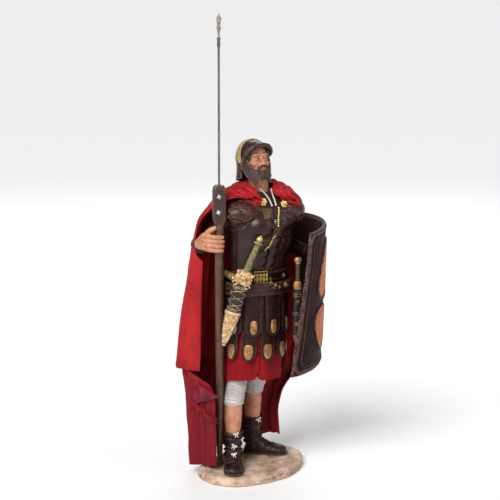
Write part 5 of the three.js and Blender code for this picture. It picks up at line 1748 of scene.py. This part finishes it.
def short_sword():
    top, mouth, tip = SHORT_SWORD
    hilt, length, case, full = sword_axes(top, mouth, tip)
    short_hilt(hilt, length, top, mouth)
    short_scabbard(case, full)


short_sword()


def long_sword():
    hilt, length, case, full = sword_axes(*LONG_SWORD)
    pommel = turned_on(hilt, [(-2.4, 0.6, 0.5), (-1.8, 2.2, 1.5), (0, 3.4, 2.1), (1.8, 3, 1.9),
                              (3, 1.7, 1.5)])
    guard = turned_on(hilt, [(length - 4, 1.8, 1.6), (length - 2.4, 3.4, 2.2), (length + 1, 3.8, 2.4),
                             (length + 3, 3.4, 2.2), (length + 4, 2.4, 1.8)], 32, 2.6, 0.5)
    brass = joined(pommel, ring_on(hilt, 3, 1.9, 1.8, 0.5), guard)
    piece("long_sword_brass", brass, TIP, "long_sword_hilt")
    grip = [(2.6, 1.6, 1.6)]
    grip += [(4 + 1.5 * k, 1.9 + 0.22 * (k % 2), 1.8 + 0.2 * (k % 2)) for k in range(10)]
    piece("long_sword_grip", turned_on(hilt, grip), GRIP, "long_sword_hilt")
    rows = [(0, 3.4, 2.2), (0.8, 3.9, 2.5), (full * 0.5, 3.5, 2.2), (full * 0.9, 2.6, 1.8), (full, 1, 0.8)]
    piece("long_scabbard_leather", turned_on(case, rows, 32, 2.6, 0.2), BLACK, "long_sword_scabbard")
    fittings = [ring_on(case, h, *(v + 0.1 for v in station(rows, h)), 0.42)
                for h in (full * 0.05, full * 0.09, full * 0.4, full * 0.44)]
    for h in (full * 0.2, full * 0.62):
        front = case @ Matrix.Translation((0, 2.2, h)) @ Matrix.Rotation(-90 * RAD, 4, "X")
        fittings.append(flower(front, 2.2, 5, 0.8, 1))
    fittings.append(turned_on(case, [(full * 0.84, 2.9, 2), (full * 0.88, 3, 2.1), (full * 0.97, 1.8, 1.4),
                                     (full + 0.6, 0.6, 0.5)], 28, 2.4))
    # The fittings take the brass with painted shade.
    piece("long_scabbard_fittings", joined(*fittings), SHADED_BRASS, "long_sword_scabbard")


long_sword()

# Belt fittings.
openwork("buckle_plate", 12, 11, 4, 3, belt_frame(-97, 181.6, 2.9), BRASS, "buckle")


def belt_scrolls():
    """A bar of small open scrolls along the belt, over the right hip."""
    parts = []
    for z in (181.2, 186):
        run = [torso_point(a * RAD, z - 0.06 * (a + 190), 3) for a in range(-192, -133, 4)]
        parts.append(sweep(run, 0.5, 8, 2))
    for k in range(11):
        angle = (-190 + 5.4 * k) * RAD
        z = 183.6 - 0.06 * 5.4 * k
        side = 1 if k % 2 else -1
        loop = [torso_point(angle + 0.095 * math.cos(a), z + side * 0.9 + 2 * math.sin(a), 3.6)
                for a in round_angles(12)]
        parts.append(sweep(loop, 0.45, 7, 1, looped=True))
        at = torso_point(angle, z + side * 0.5, 3.3)
        parts.append(ball(*at, 1, 1, 1, 10))
    return joined(*parts)


piece("belt_scrolls", belt_scrolls(), BRASS, "belt_plate_right")


def small_bosses(name, spots, carriers, finish_used, node_name, lift=0.2):
    """Small lobed bosses set where the spots of the frame fall on the carrying pieces."""
    parts = []
    for x, y, reach, petals in spots:
        for spot in seen([(x, y)], carriers, lift):
            parts.append(flower(facing_eye(spot), reach, petals, reach * 0.36, reach * 0.42))
    piece(name, joined(*parts), finish_used, node_name)


# Each boss is a spot of the frame, its reach in mm, and its number of lobes.
BELT_BOSS_SPOTS = [
    (282.6, 275.4, 2.6, 5), (284.6, 284.8, 2.6, 6), (270.9, 283, 2, 4), (276, 280.5, 1.3, 4),
    (270.4, 278.6, 1.4, 4), (275.4, 285, 1.7, 5), (279.4, 287, 1.5, 4), (279.6, 279.6, 1.2, 4),
    (286, 279.6, 1.3, 4), (273.4, 288, 1.2, 4),
]
# The bosses on his left take the brass with painted shade.
small_bosses("belt_bosses", BELT_BOSS_SPOTS, [belt, sash], SHADED_BRASS, "belt_stud_left")


# Each fold of the cloak's front edges is its spots and its half width in mm.
FOLD_SPOTS = [
    ([(243, 187), (249, 190), (256, 195), (262, 201)], 3.2),
    ([(238, 191), (245, 194.5), (253, 198.5), (261, 204)], 3.4),
    ([(235, 195), (241, 196.5), (248, 199.5), (256, 203.5)], 2.4),
    ([(234, 195.5), (242, 199), (250, 203), (259, 206)], 1.9),
    ([(284, 203), (289, 202.5), (294, 203.5), (300, 207)], 2.1),
    ([(275, 189), (278, 193), (281, 198), (284, 203)], 2.6),
    ([(280, 190), (284, 195), (288, 199), (291, 203)], 3.2),
    ([(284, 191), (290, 195.5), (295, 200), (299, 205)], 3),
]


def front_folds():
    """The cloak's two front edges, drawn down from the neck to the brooches."""
    folds = []
    for spots, size in FOLD_SPOTS:
        path = seen(spots, [cuirass, cloak, collar, *guards], 0.6)
        folds.append(sweep(path, [size * 0.7, size, size, size * 0.6], 14, 6, flat=0.6))
    return joined(*folds)


fused("cloak_front_folds", front_folds(), CLOTH, "cloak", voxel=0.55, rounds=5)


LEAF_LINE_SPOTS = {
    "right": [[(241, 198.5), (248, 201), (255, 205.5), (262, 211)],
              [(225, 214), (234.7, 207.4), (246, 208), (257.5, 213.6), (250, 219), (242, 222),
               (231, 219.5), (225, 214)],
              [(226, 217), (236, 213.5), (246, 213.4), (255, 214.4)],
              [(225, 224), (233, 230.5), (243, 229), (249, 223)]],
    "left": [[(285, 206), (290, 207.5), (295, 212), (298.5, 218)],
             [(283, 212), (288, 217), (294, 221.5), (299.5, 223)]],
}


def guard_lines():
    """The raised edges of the leaves worked on the shoulder guards and the strap beside them."""
    for label, rows in LEAF_LINE_SPOTS.items():
        runs = [seen(along_spots(row, 3), [cuirass, *guards], 0.35) for row in rows]
        lines = joined(*[sweep(run, 0.7, 8, 2) for run in runs])
        piece("guard_lines_" + label, lines, GUARD, "shoulder_guard_" + label)


guard_lines()
BROOCH_SPOTS = {"right": (262.6, 202.4, 3.8, 7), "left": (283.3, 204.5, 3.4, 7)}
for label, boss in BROOCH_SPOTS.items():
    small_bosses("brooch_%s_boss" % label, [boss], [cuirass, cloak, *guards], BRASS, "brooch_" + label, 0.8)


BEAD_SPOTS = [[(278.3, 208), (278.6, 216), (278.3, 226)], [(275.4, 235), (271, 243), (265, 250)]]
LINK_SPOTS = [(277.6, 228.6), (276.4, 231.6), (276, 233.6)]


def chain():
    """A string of beads down the chest in two runs, with open links between."""
    strung = [spot for run in BEAD_SPOTS for spot in along_spots(run, 2.1)]
    beads = [ball(*p, 1, 1, 1, 12) for p in seen(strung, [cuirass], 0.8)]
    piece("chain_beads", joined(*beads), BRASS, "neck_chain")
    loops = []
    for k, p in enumerate(seen(LINK_SPOTS, [cuirass], 1)):
        tilt = Matrix.Rotation(1.2 * (k % 2), 3, "Y") @ Matrix.Rotation(1.4, 3, "X")
        link = [p + tilt @ Vector((1.5 * math.cos(a), 1.5 * math.sin(a), 0)) for a in round_angles(14)]
        loops.append(sweep(link, 0.4, 7, 2, looped=True))
    piece("chain_rings", joined(*loops), DARK_GOLD, "neck_chain")


chain()


def twisted(path, size):
    """Two strands laid round each other along a path."""
    rows = [Vector(p) for p in smooth_run([list(p) for p in path], 10)]
    strands = []
    for shift in (0, math.pi):
        strand = []
        for k, p in enumerate(rows):
            ahead = rows[min(k + 1, len(rows) - 1)] - rows[max(k - 1, 0)]
            across = ahead.cross(Vector((0, 1, 0.2))).normalized()
            turn = 1.1 * k + shift
            strand.append(p + (across * math.cos(turn) + Vector((0, -1, 0)) * math.sin(turn)) * size * 0.55)
        strands.append(sweep(strand, size * 0.62, 6, 2))
    return joined(*strands)


for label, pairs in (("right", [(5.4, 258.6), (9.6, 254), (12.6, 249), (14, 244)]),
                     ("left", [(15.8, 257.6), (16.8, 253), (17.5, 249), (18, 244.4)])):
    cord = [(x, chest_y(x, z) - 1.4, z) for x, z in pairs]
    piece("lace_" + label, joined(twisted(cord, 0.62), ball(*cord[-1], 0.9, 0.9, 1, 10)), LACE,
          "helmet_lace_" + label)


# The middle of the first row of scales, and the two ends of the first crossing of the cord.
SCALE_SPOTS, CROSS_SPOTS = (267, 210), ((280.5, 210.5), (286, 210.5))


def chest_scales():
    """Small overlapping scales below the right brooch, and a crossed cord below the left one."""
    scales = []
    for row in range(5):
        count = 4 - row // 2
        for k in range(count):
            x = SCALE_SPOTS[0] + (k - (count - 1) / 2) * 2.4 + 0.3 * (row % 2)
            for p in seen([(x, SCALE_SPOTS[1] + 2.1 * row)], [cuirass], 0.25):
                scales.append(ball(*p, 1.25, 0.6, 1.35, 10))
    piece("chest_scales", joined(*scales), DARK_GOLD, "figure")
    laces = []
    for ends in (CROSS_SPOTS, CROSS_SPOTS[::-1]):
        zigzag = [(ends[k % 2][0], ends[0][1] + 1.5 * k) for k in range(7)]
        laces.append(sweep(seen(zigzag, [cuirass], 0.4), 0.35, 6, 1))
    piece("chest_lacing", joined(*laces), CORD, "figure")


chest_scales()


STRAP_SPOTS = [(238, 202.4), (243, 201), (250, 204), (256.5, 208.5), (261.5, 211.5)]


def shoulder_strap():
    """The stitched strap that comes over the right shoulder from under the cloak to the brooch."""
    spots = along_spots(STRAP_SPOTS, 3)
    carriers = [cuirass, cloak, *guards]
    strap = sweep(seen(spots, carriers, 0.5), 1.7, 10, 2, flat=0.6)
    piece("shoulder_strap", strap, GUARD, "shoulder_guard_right")
    seam = sweep(seen([(x + 0.4, y - 1.6) for x, y in spots], carriers, 1), 0.45, 7, 2)
    piece("shoulder_strap_seam", seam, RIM, "shoulder_guard_right")


shoulder_strap()


def stage():
    """A pale floor, a soft sky and three lights."""
    bpy.ops.object.select_all(action="DESELECT")
    bpy.ops.mesh.primitive_plane_add(size=400, location=(0, 0, 0))
    floor = bpy.context.object
    floor.name = "floor"
    pale = bpy.data.materials.new("pale_floor")
    pale.use_nodes = True
    shader = pale.node_tree.nodes["Principled BSDF"]
    shader.inputs["Base Color"].default_value = (0.9, 0.9, 0.9, 1)
    shader.inputs["Roughness"].default_value = 0.8
    floor.data.materials.append(pale)
    world = bpy.data.worlds.new("studio")
    world.use_nodes = True
    world.node_tree.nodes["Background"].inputs[0].default_value = (1, 1, 1, 1)
    world.node_tree.nodes["Background"].inputs[1].default_value = 0.34
    bpy.context.scene.world = world
    lights = [  # name, kind, place in m, angle or size, power
        ("key", "SUN", (-1.2, -0.95, 1.5), 35 * RAD, 3.2),
        ("fill", "AREA", (1.2, -1.3, 0.8), 0.9, 4),
        ("back", "AREA", (0.6, 1.2, 1.2), 0.8, 7),
    ]
    for label, kind, at, spread, power in lights:
        data = bpy.data.lights.new(label, kind)
        data.energy = power
        if kind == "SUN":
            data.angle = spread
        else:
            data.size = spread
        lamp = bpy.data.objects.new(label, data)
        bpy.context.scene.collection.objects.link(lamp)
        lamp.location = at
        aim = Vector((0, 0, 0.2)) - Vector(at)
        lamp.rotation_euler = aim.to_track_quat("-Z", "Y").to_euler()


stage()
